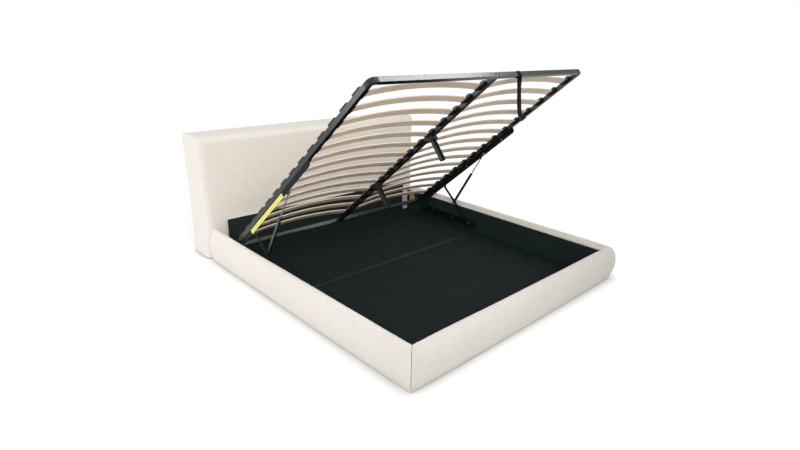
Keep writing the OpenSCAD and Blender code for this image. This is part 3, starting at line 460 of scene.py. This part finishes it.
print(f"{SLAT_THICK / LAYER:.0f} layers in a slat")

# %% [markdown]
# ## Dressing the solids that stay
# Most of the lift's solids have their true shape and stay. Each gets its finish in its material
# slots. Real tubes, plates and mouldings have no knife edges: a narrow bevel gives each edge the
# thin bright line that the eye expects. It is a modifier, so the solid's own mesh stays whole.

# %% Finishes by solid
def solids(names):
    """Solids by name. A name that ends in a line stands for the left one and the right one."""
    return [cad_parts[name + side] for name in names.split()
            for side in (("left", "right") if name.endswith("_") else ("",))]


finish_of = {
    steel: "base_plate_ side_tube_ foot_bar head_bar centre_beam",
    plate_steel_shaded_copy: "front_arm_ rear_arm_ mechanism_rail_ frame_screws",  # blackened screws
    leg_steel: "support_legs",
    light_steel: "corner_brackets",
    zinc: "base_posts base_bolts mechanism_bolts platform_pins",
    chrome: "strut_rod_",
    lacquer: "strut_cylinder_",
    plastic: "foot_elbow_ slat_caps_ centre_holders leg_brackets headboard_glides",
    rubber: "leg_feet",
    yellow: "yellow_strip",
    laminate_painted_darker: "floor_panel_foot floor_panel_head headboard_back",
    lining: "side_lining_ foot_lining head_panel",
    boucle: "head_lining",  # the strip of the headboard's own cloth behind the head panel
    joint_strip: "floor_strip",
    felt: "felt_pads",
    fibreboard: "side_board_ foot_board headboard_board",
    pine: "corner_blocks headboard_timbers",
    birch: "slats_",
}
for finish, names in finish_of.items():
    for solid in solids(names):
        for surface in solid.material_slots:
            surface.material = finish
print("solids dressed:", sum(len(solids(names)) for names in finish_of.values()))

# %% Soft edges
edge_of = {
    1.5: "side_tube_ foot_bar head_bar centre_beam leg_brackets",
    2.5: "slats_ slat_caps_ centre_holders foot_elbow_",
    0.8: "front_arm_ rear_arm_ base_plate_ support_legs corner_brackets floor_strip head_panel "
         "corner_blocks mechanism_rail_ mechanism_bolts base_bolts frame_screws",
}
for width, names in edge_of.items():
    for solid in solids(names):
        weld = solid.modifiers.new("join_edges", "WELD")
        weld.merge_threshold = 0.01 * MM  # joins the points that each face has for itself
        bevel = solid.modifiers.new("soft_edges", "BEVEL")
        bevel.width = width * MM
        bevel.segments = 2
        bevel.limit_method = "ANGLE"
        bevel.angle_limit = radians(50)  # rounds with short facets stay as they are
        bevel.use_clamp_overlap = True
print("bevelled:", sum(len(solids(names)) for names in edge_of.values()))

# %% [markdown]
# ## Padded covers: how cloth over foam gets its shape
# A rail is a board with foam glued round it and a sewn cover drawn over both. The cover is
# pulled in at each seam and swells between them. A plain sweep of the section would look like
# moulded plastic, so the sweep starts 3 mm too small, is held where staples and seams hold the
# real cover, and is blown up a little as cloth. How far a point may travel is capped, so that
# the rail keeps its size. The clumps of the pile come last, as lumps of a millimetre in the mesh.

# %% Sizes of the rails, from the solids
bed_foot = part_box("foot_lining")[1].y  # the inner face of the foot lining
half_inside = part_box("side_lining_right")[0].x  # the inner face of a side lining
inside_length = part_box("rail_cover_right")[1].y - bed_foot
rail_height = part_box("foot_cover")[1].z
rail_out = bed_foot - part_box("foot_cover")[0].y
print(f"inside {2 * half_inside:.3f} m by {inside_length:.3f} m,",
      f"rail {rail_height:.3f} m high, {rail_out:.3f} m out")

# %% The section of a rail
SLACK = 3 * MM  # how much smaller the cover starts
LIP, BELLY = 200 * MM, 115 * MM  # heights of the inner lip and of the widest place
CREST_OUT = 31 * MM  # how far out the top of the rail is
BOARD_TOP, BOARD_OUT = 190.6 * MM, 20.8 * MM
FLAP, TUCK = 4 * MM, 15 * MM  # its turn up at the board, and its way under the rail
GROUND, UNDER_BOARD = 0.5 * MM, 3.6 * MM  # the cover's heights below the board, outside and inside
STAPLE_IN, SKIN = 3 * MM, 0.4 * MM  # where it ends inside, and its distance from the lining


def rail_section():
    """Points (out, up) round a rail's section, and for each whether staples or the board hold it."""
    held = [(STAPLE_IN, GROUND), (STAPLE_IN, UNDER_BOARD), (BOARD_OUT, UNDER_BOARD)]
    held += [(BOARD_OUT, FLAP + (BOARD_TOP - FLAP) * k / 5) for k in (1, 2, 3, 4)]
    held += [(BOARD_OUT, BOARD_TOP - 2 * MM), (BOARD_OUT, BOARD_TOP), (BOARD_OUT - 2 * MM, BOARD_TOP),
             (SKIN, BOARD_TOP)]
    free = []
    for k in range(9):
        a = radians(90 * k / 8)
        free.append((SKIN + CREST_OUT * (1 - cos(a)), LIP + (rail_height - LIP) * sin(a)))
    for k in range(1, 17):
        a = radians(90 * k / 16)
        free.append((CREST_OUT + (rail_out - CREST_OUT) * sin(a),
                     BELLY + (rail_height - BELLY) * cos(a)))
    for k in range(1, 8):
        t = k / 7
        free.append((rail_out - TUCK * t * t, max(BELLY * (1 - t), GROUND)))
    under = [((rail_out - TUCK) * (1 - t) + STAPLE_IN * t, GROUND) for t in (0.2, 0.45, 0.72)]
    points = np.array(held + free + under)
    fixed = np.array([True] * (len(held) + 1) + [False] * (len(free) - 2) + [True] * (len(under) + 1))
    return points, fixed


section, section_fixed = rail_section()
print("section points:", len(section), "held:", int(section_fixed.sum()))


# %% A mesh from points, and its faces
def new_piece(name, points, faces, finish):
    """A mesh object from points and faces, smooth and finished."""
    data = bpy.data.meshes.new(name)
    data.from_pydata([tuple(map(float, p)) for p in points], [], [tuple(map(int, f)) for f in faces])
    data.validate()
    data.shade_smooth()
    turned = bmesh.new()
    turned.from_mesh(data)
    bmesh.ops.recalc_face_normals(turned, faces=turned.faces)
    turned.to_mesh(data)
    turned.free()
    data.materials.append(finish)
    return in_scene(name, data)


def tube_faces(size, count, closed=False):
    """Faces between rings of size points: a closed row of rings, or an open one with two end faces."""
    faces = []
    for ring in range(count if closed else count - 1):
        here, there = ring * size, (ring + 1) % count * size
        for i in range(size):
            j = (i + 1) % size
            faces.append((here + i, here + j, there + j, there + i))
    if not closed:
        faces += [tuple(range(size)), tuple(reversed(range((count - 1) * size, count * size)))]
    return faces


print("faces of 4 rings of 3 points:", len(tube_faces(3, 4)))

# %% Outward directions, and points as an array
def outward(ring):
    """Unit directions out of a closed section, one for each point."""
    along = np.roll(ring, -1, 0) - np.roll(ring, 1, 0)
    out = np.stack([-along[:, 1], along[:, 0]], 1)
    out /= np.linalg.norm(out, axis=1)[:, None] + 1e-12
    area = 0.5 * np.sum(ring[:, 0] * np.roll(ring[:, 1], -1) - np.roll(ring[:, 0], -1) * ring[:, 1])
    return -out if area > 0 else out


def points_of(mesh, field="co"):
    """The places or the normals of a mesh's points, as an array."""
    values = np.zeros(len(mesh.vertices) * 3)
    mesh.vertices.foreach_get(field, values)
    return values.reshape(-1, 3)


def put_points(piece, points):
    """Writes an array of points back to a mesh."""
    piece.data.vertices.foreach_set("co", np.asarray(points, float).ravel())
    piece.data.update()


print("section turns outwards:", outward(section)[20].round(2))

# %% [markdown]
# ## Blowing a cover up
# Blender's cloth works on any mesh. The points in a pin group stay, pressure pushes the rest
# outwards, and the weave's stiffness holds it back. Twenty steps are enough for a cover that
# starts close to its shape. The result is read off, its travel is capped, and the modifier is
# taken away again, so the piece is a plain mesh afterwards. It is subdivided before the lumps,
# because they are finer than its grid.

# %% Cloth with capped travel
SWELL_STEPS, SWELL_CAP, SWELL_PRESSURE = 20, 7 * MM, 4.0
scene.frame_start, scene.frame_end = 1, SWELL_STEPS


def swell(piece, fixed):
    """Swells a cover between its held points, and prints how far the cloth wanted to move."""
    group = piece.vertex_groups.new(name="held")
    group.add([int(i) for i in np.flatnonzero(fixed)], 1.0, "REPLACE")
    cloth = piece.modifiers.new("cloth", "CLOTH")
    weave = dict(quality=6, mass=0.4, tension_stiffness=25, compression_stiffness=25,
                 shear_stiffness=12, bending_stiffness=2, vertex_group_mass="held",
                 use_pressure=True, uniform_pressure_force=SWELL_PRESSURE)
    for setting, value in weave.items():
        setattr(cloth.settings, setting, value)
    cloth.settings.effector_weights.gravity = 0
    cloth.collision_settings.use_collision = False
    cloth.point_cache.frame_start, cloth.point_cache.frame_end = 1, SWELL_STEPS
    start = points_of(piece.data)
    for frame_number in range(1, SWELL_STEPS + 1):
        scene.frame_set(frame_number)
    swollen = piece.evaluated_get(bpy.context.evaluated_depsgraph_get()).to_mesh()
    travel = points_of(swollen) - start
    reach = np.linalg.norm(travel, axis=1)
    travel *= np.minimum(1.0, SWELL_CAP / np.maximum(reach, 1e-9))[:, None]
    piece.modifiers.remove(cloth)
    piece.vertex_groups.remove(group)
    put_points(piece, start + travel)
    scene.frame_set(1)
    print(piece.name, "cloth wanted to move", round(float(reach.max()) / MM, 1), "mm")


# %% Subdivision and lumps
FINE_CLUMPS, FINE_SHARE = 2.1, 0.5  # how much finer the second clumps are, and their share


def subdivide(piece, rounds):
    """Smooth subdivision, applied to the mesh."""
    smooth = piece.modifiers.new("finer", "SUBSURF")
    smooth.levels = smooth.render_levels = rounds
    smooth.boundary_smooth = "PRESERVE_CORNERS"
    finer = bpy.data.meshes.new_from_object(piece.evaluated_get(bpy.context.evaluated_depsgraph_get()))
    piece.modifiers.remove(smooth)
    old, piece.data = piece.data, finer
    finer.name = old.name
    bpy.data.meshes.remove(old)
    piece.data.shade_smooth()


def lumps(piece, size, depth, still=None):
    """Lifts the pile's clumps along a cover's normals; still(point) says where it lies flat."""
    points, normals = points_of(piece.data), points_of(piece.data, "normal")
    lift = np.array([noise.noise(Vector(p / size))
                     + FINE_SHARE * noise.noise(Vector(p / size * FINE_CLUMPS + 7.0)) for p in points])
    if still is not None:
        lift *= np.array([0.0 if still(p) else 1.0 for p in points])
    points += normals * (lift * depth)[:, None]
    points[:, 2] = np.maximum(points[:, 2], 0.3 * MM)  # nothing dips into the floor
    put_points(piece, points)


print("lumps in two sizes, one", FINE_CLUMPS, "times finer")

# %% [markdown]
# ## The three padded rails
# The side rails and the foot rail are one section swept along a line, and they meet in a mitre
# at each foot corner. There the cover is sewn: it is drawn in towards the seam and puckers a
# little beside it. At the headboard a side rail ends in a sewn, rounded end. The sections stand
# closer together near the ends, because that is where the shape changes fastest.

# %% Seams, wander and stations
SEAM_GAP = 0.3 * MM
END_ROUND = 15 * MM  # rounding of a side rail's end at the headboard
END_DEPTH = 0.8  # how much of its rounding it is drawn in
SEAM_DEPTH, SEAM_REACH = 5.5 * MM, 13 * MM
PUCKER_DEPTH, PUCKER_WIDE, PUCKER_LONG, PUCKER_REACH = 2.2 * MM, 22 * MM, 30 * MM, 26 * MM
PUCKER_END = 200 * MM  # no pucker is left this far from the seam
WANDER, WANDER_PER_M = 1.2 * MM, 3.1  # foam cut by hand is never quite straight
APART, OFF_ZERO = 5.0, 0.3  # rails differ, and noise is 0 on whole numbers
LENGTH_AT = 30 * MM  # how far out a rail's length is taken
CORNER_LOW, CORNER_REACH = 90 * MM, 40 * MM  # below this height the cover is tucked in at a mitre
NEAR = [d * MM for d in (0, 3, 7, 12, 18, 26, 36, 50, 68)]  # stations close to an end
STEP = 26 * MM  # and between the ends


def stations(whole):
    """For each section: its share of the way, and how far the two ends of the way are moved in."""
    inner = int((whole - 2 * NEAR[-1]) / STEP)
    return ([(0.0, d, 0.0) for d in NEAR] + [(k / inner, NEAR[-1], NEAR[-1]) for k in range(1, inner)]
            + [(1.0, 0.0, d) for d in reversed(NEAR)])


print("stations of a side rail:", len(stations(inside_length)))

# %% Sweep a rail
def sweep(name, place, ends_of, sewn_far_end, seed, tucks):
    """A cover swept along its rail. place(out, along, up) gives a point, ends_of(out) its two ends."""
    free = ~section_fixed
    underside = (section[:, 1] < 2 * GROUND) & (section[:, 0] > STAPLE_IN + 1 * MM)
    out_way = outward(section)
    walk = np.concatenate([[0], np.cumsum(np.linalg.norm(np.diff(section, axis=0), axis=1))])
    whole = ends_of(LENGTH_AT)[1] - ends_of(LENGTH_AT)[0]
    rows, fixed = [], []
    for share, from_start, from_end in stations(whole):
        along = from_start + share * (whole - from_start - from_end)
        seam = min(along, whole - along) if sewn_far_end else along
        left = whole - along
        wander = WANDER * noise.noise(Vector((along * WANDER_PER_M, seed * APART, OFF_ZERO)))
        pull = np.full(len(section), SLACK + wander)
        pull += SEAM_DEPTH * exp(-seam / SEAM_REACH)
        if 0 < seam < PUCKER_END:
            pucker = [noise.noise(Vector((a / PUCKER_WIDE, seed, seam / PUCKER_LONG))) for a in walk]
            pull += PUCKER_DEPTH * np.array(pucker) * exp(-seam / PUCKER_REACH)
        low_down = np.clip(1 - section[:, 1] / CORNER_LOW, 0, 1) ** 2
        corner_pull = sum(tuck * exp(-((d / CORNER_REACH) ** 2))
                          for d, tuck in zip((along, left), tucks))
        pull += corner_pull * low_down
        if not sewn_far_end and left < END_ROUND:
            pull += END_DEPTH * END_ROUND * (1 - sqrt(1 - (1 - left / END_ROUND) ** 2))
        ring = section.copy()
        ring[free] -= out_way[free] * pull[free, None]
        ring[underside, 0] *= 1 - corner_pull / (rail_out - TUCK)
        ring[:, 1] = np.maximum(ring[:, 1], GROUND)
        for out, up in ring:
            begin, end = ends_of(out)
            far = begin + from_start + share * (end - begin - from_start - from_end)
            rows.append(place(out, far, up))
        fixed.append(section_fixed)
    fixed[0] = fixed[-1] = np.ones(len(section), bool)
    return new_piece(name, rows, tube_faces(len(section), len(fixed)), boucle), np.concatenate(fixed)


print("a rail's rings have", len(section), "points")

# %% Make, swell and place the rails
TUCK_LEFT, TUCK_RIGHT = 4 * MM, 14 * MM  # the right corner is tucked in further
side_ends = lambda out: (-out + SEAM_GAP, inside_length)
foot_ends = lambda out: (-half_inside - out + SEAM_GAP, half_inside + out - SEAM_GAP)
plans = {
    "rail_padding_left": ("rail_cover_left", lambda u, w, z: (-half_inside - u, bed_foot + w, z),
                          side_ends, False, 1.0, (TUCK_LEFT, 0.0)),
    "rail_padding_right": ("rail_cover_right", lambda u, w, z: (half_inside + u, bed_foot + w, z),
                           side_ends, False, 2.0, (TUCK_RIGHT, 0.0)),
    "foot_padding": ("foot_cover", lambda u, w, z: (w, bed_foot - u, z),
                     foot_ends, True, 3.0, (TUCK_LEFT, TUCK_RIGHT)),
}
for name, (node, place_point, ends, sewn, seed, tucks) in plans.items():
    cover, held = sweep(name, place_point, ends, sewn, seed, tucks)
    swell(cover, held)
    subdivide(cover, rounds=2)
    lumps(cover, size=11 * MM, depth=1.0 * MM)
    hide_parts(node)
    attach(cover, "carcass")
    print(name, "points:", len(cover.data.vertices))

# %% [markdown]
# ## The padded headboard
# The headboard is a timber frame with foam on all sides and one cover without piping, so its
# edges are broad and round and its faces are slightly crowned. It starts as a grid wrapped round
# a box. Each point near an edge is pushed onto a ball that rolls along the inside of the edge,
# which keeps the grid even round the corners. Below and behind, the cover stops where the frame
# and the black back panel are, and those points are held while the rest is blown up.

# %% Sizes of the headboard, from the solids
BOARD_W, BOARD_TOP_Z = 2.014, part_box("headboard_cover")[1].z
BOARD_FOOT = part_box("headboard_cover")[0].z
BOARD_FRONT, BOARD_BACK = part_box("headboard_cover")[0].y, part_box("headboard_cover")[1].y
CROWN, CORNER_R, TOP_R = 8 * MM, 60 * MM, 52 * MM
PLAY = 0.3 * MM  # between the cover and the wood that it goes round
CAVITY_X, CAVITY_TOP = 0.948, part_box("headboard_board")[1].z + PLAY
PANEL_TOP, PANEL_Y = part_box("headboard_back")[1].z + PLAY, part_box("headboard_back")[0].y
CAVITY_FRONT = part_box("headboard_board")[0].y - PLAY
GRID, GRID_DEEP, GRID_LEAST = 34 * MM, 32 * MM, 4 * MM  # between grid lines
print("headboard's top at", round(BOARD_TOP_Z, 4), "and its foot at", round(BOARD_FOOT, 4))

# %% Grid round a box
def box_grid(*axes):
    """The skin of a box as points and faces, from its grid lines on three axes."""
    number, faces = {}, []
    for c in (2, 0, 1):
        a, b = (c + 1) % 3, (c + 2) % 3
        for side in (0, len(axes[c]) - 1):
            for p in range(len(axes[a]) - 1):
                for q in range(len(axes[b]) - 1):
                    faces.append([])
                    for dp, dq in ((0, 0), (1, 0), (1, 1), (0, 1)):
                        at = {a: p + dp, b: q + dq, c: side}
                        faces[-1].append(number.setdefault((at[0], at[1], at[2]), len(number)))
    return [[axis[i] for axis, i in zip(axes, at)] for at in number], faces


def lines(low, high, round_low, round_high, step, extra=()):
    """Grid lines from low to high: closer where an edge is rounded, and with some extra lines."""
    turns = [tan(radians(a)) for a in (45, 33, 22, 11)]
    start = [low + round_low * (1 - t) for t in turns] if round_low else [low]
    end = [high - round_high * (1 - t) for t in reversed(turns)] if round_high else [high]
    a, b = low + round_low, high - round_high
    middle = list(np.linspace(a, b, max(2, int((b - a) / step))))
    found = sorted(set(round(v, 6) for v in start + middle + end + list(extra)))
    kept = [found[0]]
    for v in found[1:]:
        if v - kept[-1] > GRID_LEAST or v in extra or v == found[-1]:
            if v - kept[-1] < GRID_LEAST and kept[-1] not in extra and len(kept) > 1:
                kept.pop()
            kept.append(v)
    return kept


half_depth = (BOARD_BACK - BOARD_FRONT) / 2 - CROWN
middle_y = (BOARD_BACK + BOARD_FRONT) / 2
frame_front = CAVITY_FRONT - middle_y
grid_x = lines(-BOARD_W / 2, BOARD_W / 2, CORNER_R, CORNER_R, GRID, [-CAVITY_X, CAVITY_X])
grid_y = lines(-half_depth, half_depth, CORNER_R, CORNER_R, GRID_DEEP, [round(frame_front, 6)])
grid_z = lines(BOARD_FOOT, BOARD_TOP_Z, 0, TOP_R, GRID, [round(PANEL_TOP, 6)])
board_points, board_faces = box_grid(grid_x, grid_y, grid_z)
print("headboard grid:", len(grid_x), len(grid_y), len(grid_z), "points:", len(board_points))

# %% Round it, crown it and set it back
BOARD_SLACK = 6 * MM
SQUARER = 4.5  # how square the upper corners are seen from the front; 2 is a circle
BACK_FULL = 11 * MM  # the back's foam is thinner and the cover draws it in, so it starts fuller
TINY = 1e-5  # nearer than this is the same place
PANEL_TUCK = 0.5 * MM  # how far the cover goes in behind the back panel
CREASE = 0.9  # keeps the held edges from being rounded
PANEL_HIGH, PANEL_PLAY = 0.30, 0.1 * MM  # below this height the front lies flat for the head panel
core = np.array([BOARD_W / 2 - CORNER_R, half_depth - CORNER_R])
rounded, held = [], []
for x, y, z in board_points:
    between = abs(x) <= CAVITY_X + TINY
    in_panel = between and y > half_depth - TINY and z <= PANEL_TOP + TINY
    under = z < BOARD_FOOT + TINY
    in_frame = between and under and y >= frame_front - TINY
    inner = Vector((min(max(x, -core[0]), core[0]), min(max(y, -core[1]), core[1]),
                    min(z, BOARD_TOP_Z - TOP_R)))
    d = Vector(((x - inner.x) / CORNER_R, (y - inner.y) / CORNER_R, (z - inner.z) / TOP_R))
    rim = (abs(d.x) ** SQUARER + abs(d.z) ** SQUARER) ** (1 / SQUARER)
    away = hypot(rim, d.y)
    if away > 1e-9:
        d *= (max(abs(d.x), abs(d.y)) if under else 1.0) / away  # below, the grid keeps its rings
    r = CORNER_R - BOARD_SLACK
    p = Vector((inner.x + d.x * r, inner.y + d.y * r, inner.z + d.z * (TOP_R - BOARD_SLACK)))
    crown = CROWN * max(0.0, 1 - (p.x / core[0]) ** 2)
    p.y += copysign(crown, p.y) * min(1.0, abs(p.y) / core[1])
    p.y += middle_y + BACK_FULL * max(0.0, y / half_depth)
    if in_panel or in_frame:
        p = Vector((x, PANEL_Y - PANEL_TUCK if in_panel else y + middle_y,
                    CAVITY_TOP if in_frame else z))
    rounded.append(p)
    held.append(in_panel or under)
headboard = new_piece("headboard_padding", rounded, board_faces, boucle)
swell(headboard, held)
crease = headboard.data.attributes.new("crease_edge", "FLOAT", "EDGE")
for edge in headboard.data.edges:
    crease.data[edge.index].value = CREASE if all(held[v] for v in edge.vertices) else 0.0
subdivide(headboard, rounds=2)
lumps(headboard, size=12 * MM, depth=1.0 * MM, still=lambda p: p[2] < BOARD_FOOT + 2 * MM)
front = points_of(headboard.data)
behind_panel = (front[:, 2] < PANEL_HIGH) & (np.abs(front[:, 0]) < half_inside)
front[behind_panel, 1] = np.maximum(front[behind_panel, 1], BOARD_FRONT - PANEL_PLAY)
put_points(headboard, front)
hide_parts("headboard_cover")
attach(headboard, "carcass")
print("headboard_padding points:", len(headboard.data.vertices))

# %% [markdown]
# ## The pull strap
# A strip of webbing hangs from the foot bar to the right side tube, and a hand pulls the platform
# down by it. It is a free length held at both ends, so it sags. A curve with a bevel would twist
# at its ends, so the strip is made from bands: a flat section follows a line, with one direction
# across it and one out of it. The same band makes the sewn loop on each tube.

# %% Places on the raised platform
FOOT_BACK, FOOT_UP = 0.330921, 1.41752  # the raised foot edge, behind the foot lining and up
platform_foot = Vector((0, bed_foot + FOOT_BACK, FOOT_UP))
along_way = Vector((0, cos(open_angle), -sin(open_angle)))
square_way = Vector((0, sin(open_angle), cos(open_angle)))
PLATFORM_HALF, TUBE_W, TUBE_H, LOOP_PLAY = 900 * MM, 25 * MM, 30 * MM, 0.4 * MM


def on_platform(across, along, up):
    """A point of the raised platform: across, from its foot edge, and square to its top."""
    return platform_foot + Vector((across, 0, 0)) + along_way * along + square_way * up


print("platform's foot edge:", tuple(round(v, 4) for v in platform_foot))

# %% A flat band, and the strap's free length
def band(name, middles, acrosses, outs, wide, thick, finish, closed=False, cup=0.0):
    """A strip with soft selvedges: its middle line, the way across it and the way out of it."""
    top = [(-0.5, 0.22), (-0.44, 0.5), (-0.2, 0.5), (0.2, 0.5), (0.44, 0.5), (0.5, 0.22)]
    profile = [(p, (q if abs(p) > 0.2 else q - cup / 2)) for p, q in top]
    profile += [(p, (-q if abs(p) > 0.2 else -q - cup / 2)) for p, q in reversed(top)]
    points = [middle + across * (p * wide) + out * (q * thick)
              for middle, across, out in zip(middles, acrosses, outs) for p, q in profile]
    return new_piece(name, points, tube_faces(len(profile), len(middles), closed), finish)


STRAP_W, STRAP_T, STRAP_SAG, STRAP_BOW = 30 * MM, 2 * MM, 85 * MM, 14 * MM
BAR_AT, SIDE_AT = 205 * MM, 568 * MM  # from the middle along the foot bar, and along the side tube
ACROSS = Vector((1, 0, 0))
under_tube = -TUBE_H - LOOP_PLAY - STRAP_T
strap_from = (BAR_AT, TUBE_W / 2, under_tube)
strap_to = (PLATFORM_HALF - TUBE_W / 2, SIDE_AT, under_tube)
route, sides = [], []
for k in range(31):
    t = k / 30
    x, along, n = (a + (b - a) * t for a, b in zip(strap_from, strap_to))
    hang = 4 * t * (1 - t)
    route.append(on_platform(x - STRAP_BOW * hang, along, n - STRAP_T / 2)
                 - Vector((0, 0, STRAP_SAG * hang)))
    turn = t * t * (3 - 2 * t)  # it starts flat under the bar and ends flat under the tube
    sides.append((ACROSS * (1 - turn) - along_way * turn).normalized())
ways = [(b - a).normalized() for a, b in zip(route[:1] + route[:-1], route[1:] + route[-1:])]
sides = [(a - w * a.dot(w)).normalized() for a, w in zip(sides, ways)]
strap_outs = [w.cross(a).normalized() for a, w in zip(sides, ways)]
strap = band("pull_strap_web", route, sides, strap_outs, STRAP_W, STRAP_T, webbing, cup=0.3)
print("strap's points:", len(strap.data.vertices))

# %% Its loops and tabs
LOOP_AT, LOOP_CORNER = 200 * MM, 3 * MM
TAB_WIDER, TAB_THICKER = 3 * MM, 3.2


def tube_loop(name, start, place_point, across, out):
    """A band round a tube whose section begins at start; place_point(a, b) gives a point beside it."""
    off, r = LOOP_PLAY + STRAP_T / 2, LOOP_CORNER
    a0, a1, b0, b1 = start - off + r, start + TUBE_W + off - r, -TUBE_H - off + r, off - r
    middles, outs = [], []
    for a, b, first in ((a1, b1, 0), (a0, b1, 90), (a0, b0, 180), (a1, b0, 270)):
        for k in range(7):
            turn = radians(first + k * 15)
            middles.append(place_point(a + r * cos(turn), b + r * sin(turn)))
            outs.append(out * cos(turn) + square_way * sin(turn))
    return band(name, middles, [across] * len(outs), outs, STRAP_W, STRAP_T, webbing, closed=True)


bar_loop = tube_loop("strap_loop_bar", 0.0, lambda a, b: on_platform(LOOP_AT, a, b),
                     ACROSS, along_way)
side_loop = tube_loop("strap_loop_side", PLATFORM_HALF - TUBE_W,
                      lambda a, b: on_platform(a, SIDE_AT, b), along_way, ACROSS)
# The strap's end is turned back on itself and sewn, which makes a thick tab under each tube.
tabs = []
for name, first, last in (("strap_tab_bar", 0, 3), ("strap_tab_side", 28, 31)):
    tabs.append(band(name, route[first:last], sides[first:last], strap_outs[first:last],
                     STRAP_W + TAB_WIDER, TAB_THICKER * STRAP_T, webbing, cup=0.1))
for piece in (strap, bar_loop, side_loop, *tabs):
    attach(piece, "platform")
    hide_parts("pull_strap")

# %% [markdown]
# ## The head panel's edge
# The dark panel at the head is cut from a laminated board, so its cut edges are light. It could
# be a line of paint in the finish, but a thin band of veneer is what the real edge wears, and a
# band has a real thickness where it meets the dark face. It runs up one end, over the top and
# down the other end.

# %% Edge band
low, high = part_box("head_panel")
EDGE_T, EDGE_TURN = 0.8 * MM, 2 * MM  # its thickness and its turns' length
EDGE_OVER = 0.4 * MM  # how much wider than the panel's edge it is
panel_mid, panel_t = (low.y + high.y) / 2, high.y - low.y
edge_veneer = grained("edge_veneer_cream", "#F6F5F3", "#ECEAE6", 6 * MM, 0.05 * MM, (0.45, 0.6),
                      stretch=(0.3, 1, 0.3))
climb = [(0.0, low.z + EDGE_T, 1, 0), (0.0, high.z - EDGE_TURN, 1, 0), (0.0, high.z, 1, 1),
         (EDGE_TURN, high.z, 0, 1)]
turns = ([((low.x + a, z), (-dx, dz)) for a, z, dx, dz in climb]
         + [((high.x - a, z), (dx, dz)) for a, z, dx, dz in reversed(climb)])
edge_band = band("head_panel_edge",
                 [Vector((x + dx * EDGE_T / 2, panel_mid, z + dz * EDGE_T / 2))
                  for (x, z), (dx, dz) in turns],
                 [Vector((0, 1, 0))] * len(turns), [Vector((dx, 0, dz)) for _, (dx, dz) in turns],
                 panel_t + EDGE_OVER, EDGE_T, edge_veneer)
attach(edge_band, "carcass")
print("edge band points:", len(edge_band.data.vertices))

# %% [markdown]
# ## Sizes before and after
# The dressed bed has to stay the size of its solids.

# %% Compare the boxes and finish
dressed_box = [[float(v) for v in corner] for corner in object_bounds()]
for axis in range(3):
    grown = [round((dressed_box[end][axis] - cad_box[end][axis]) / MM, 1) for end in (0, 1)]
    print("xyz"[axis], "grew by", grown, "mm")
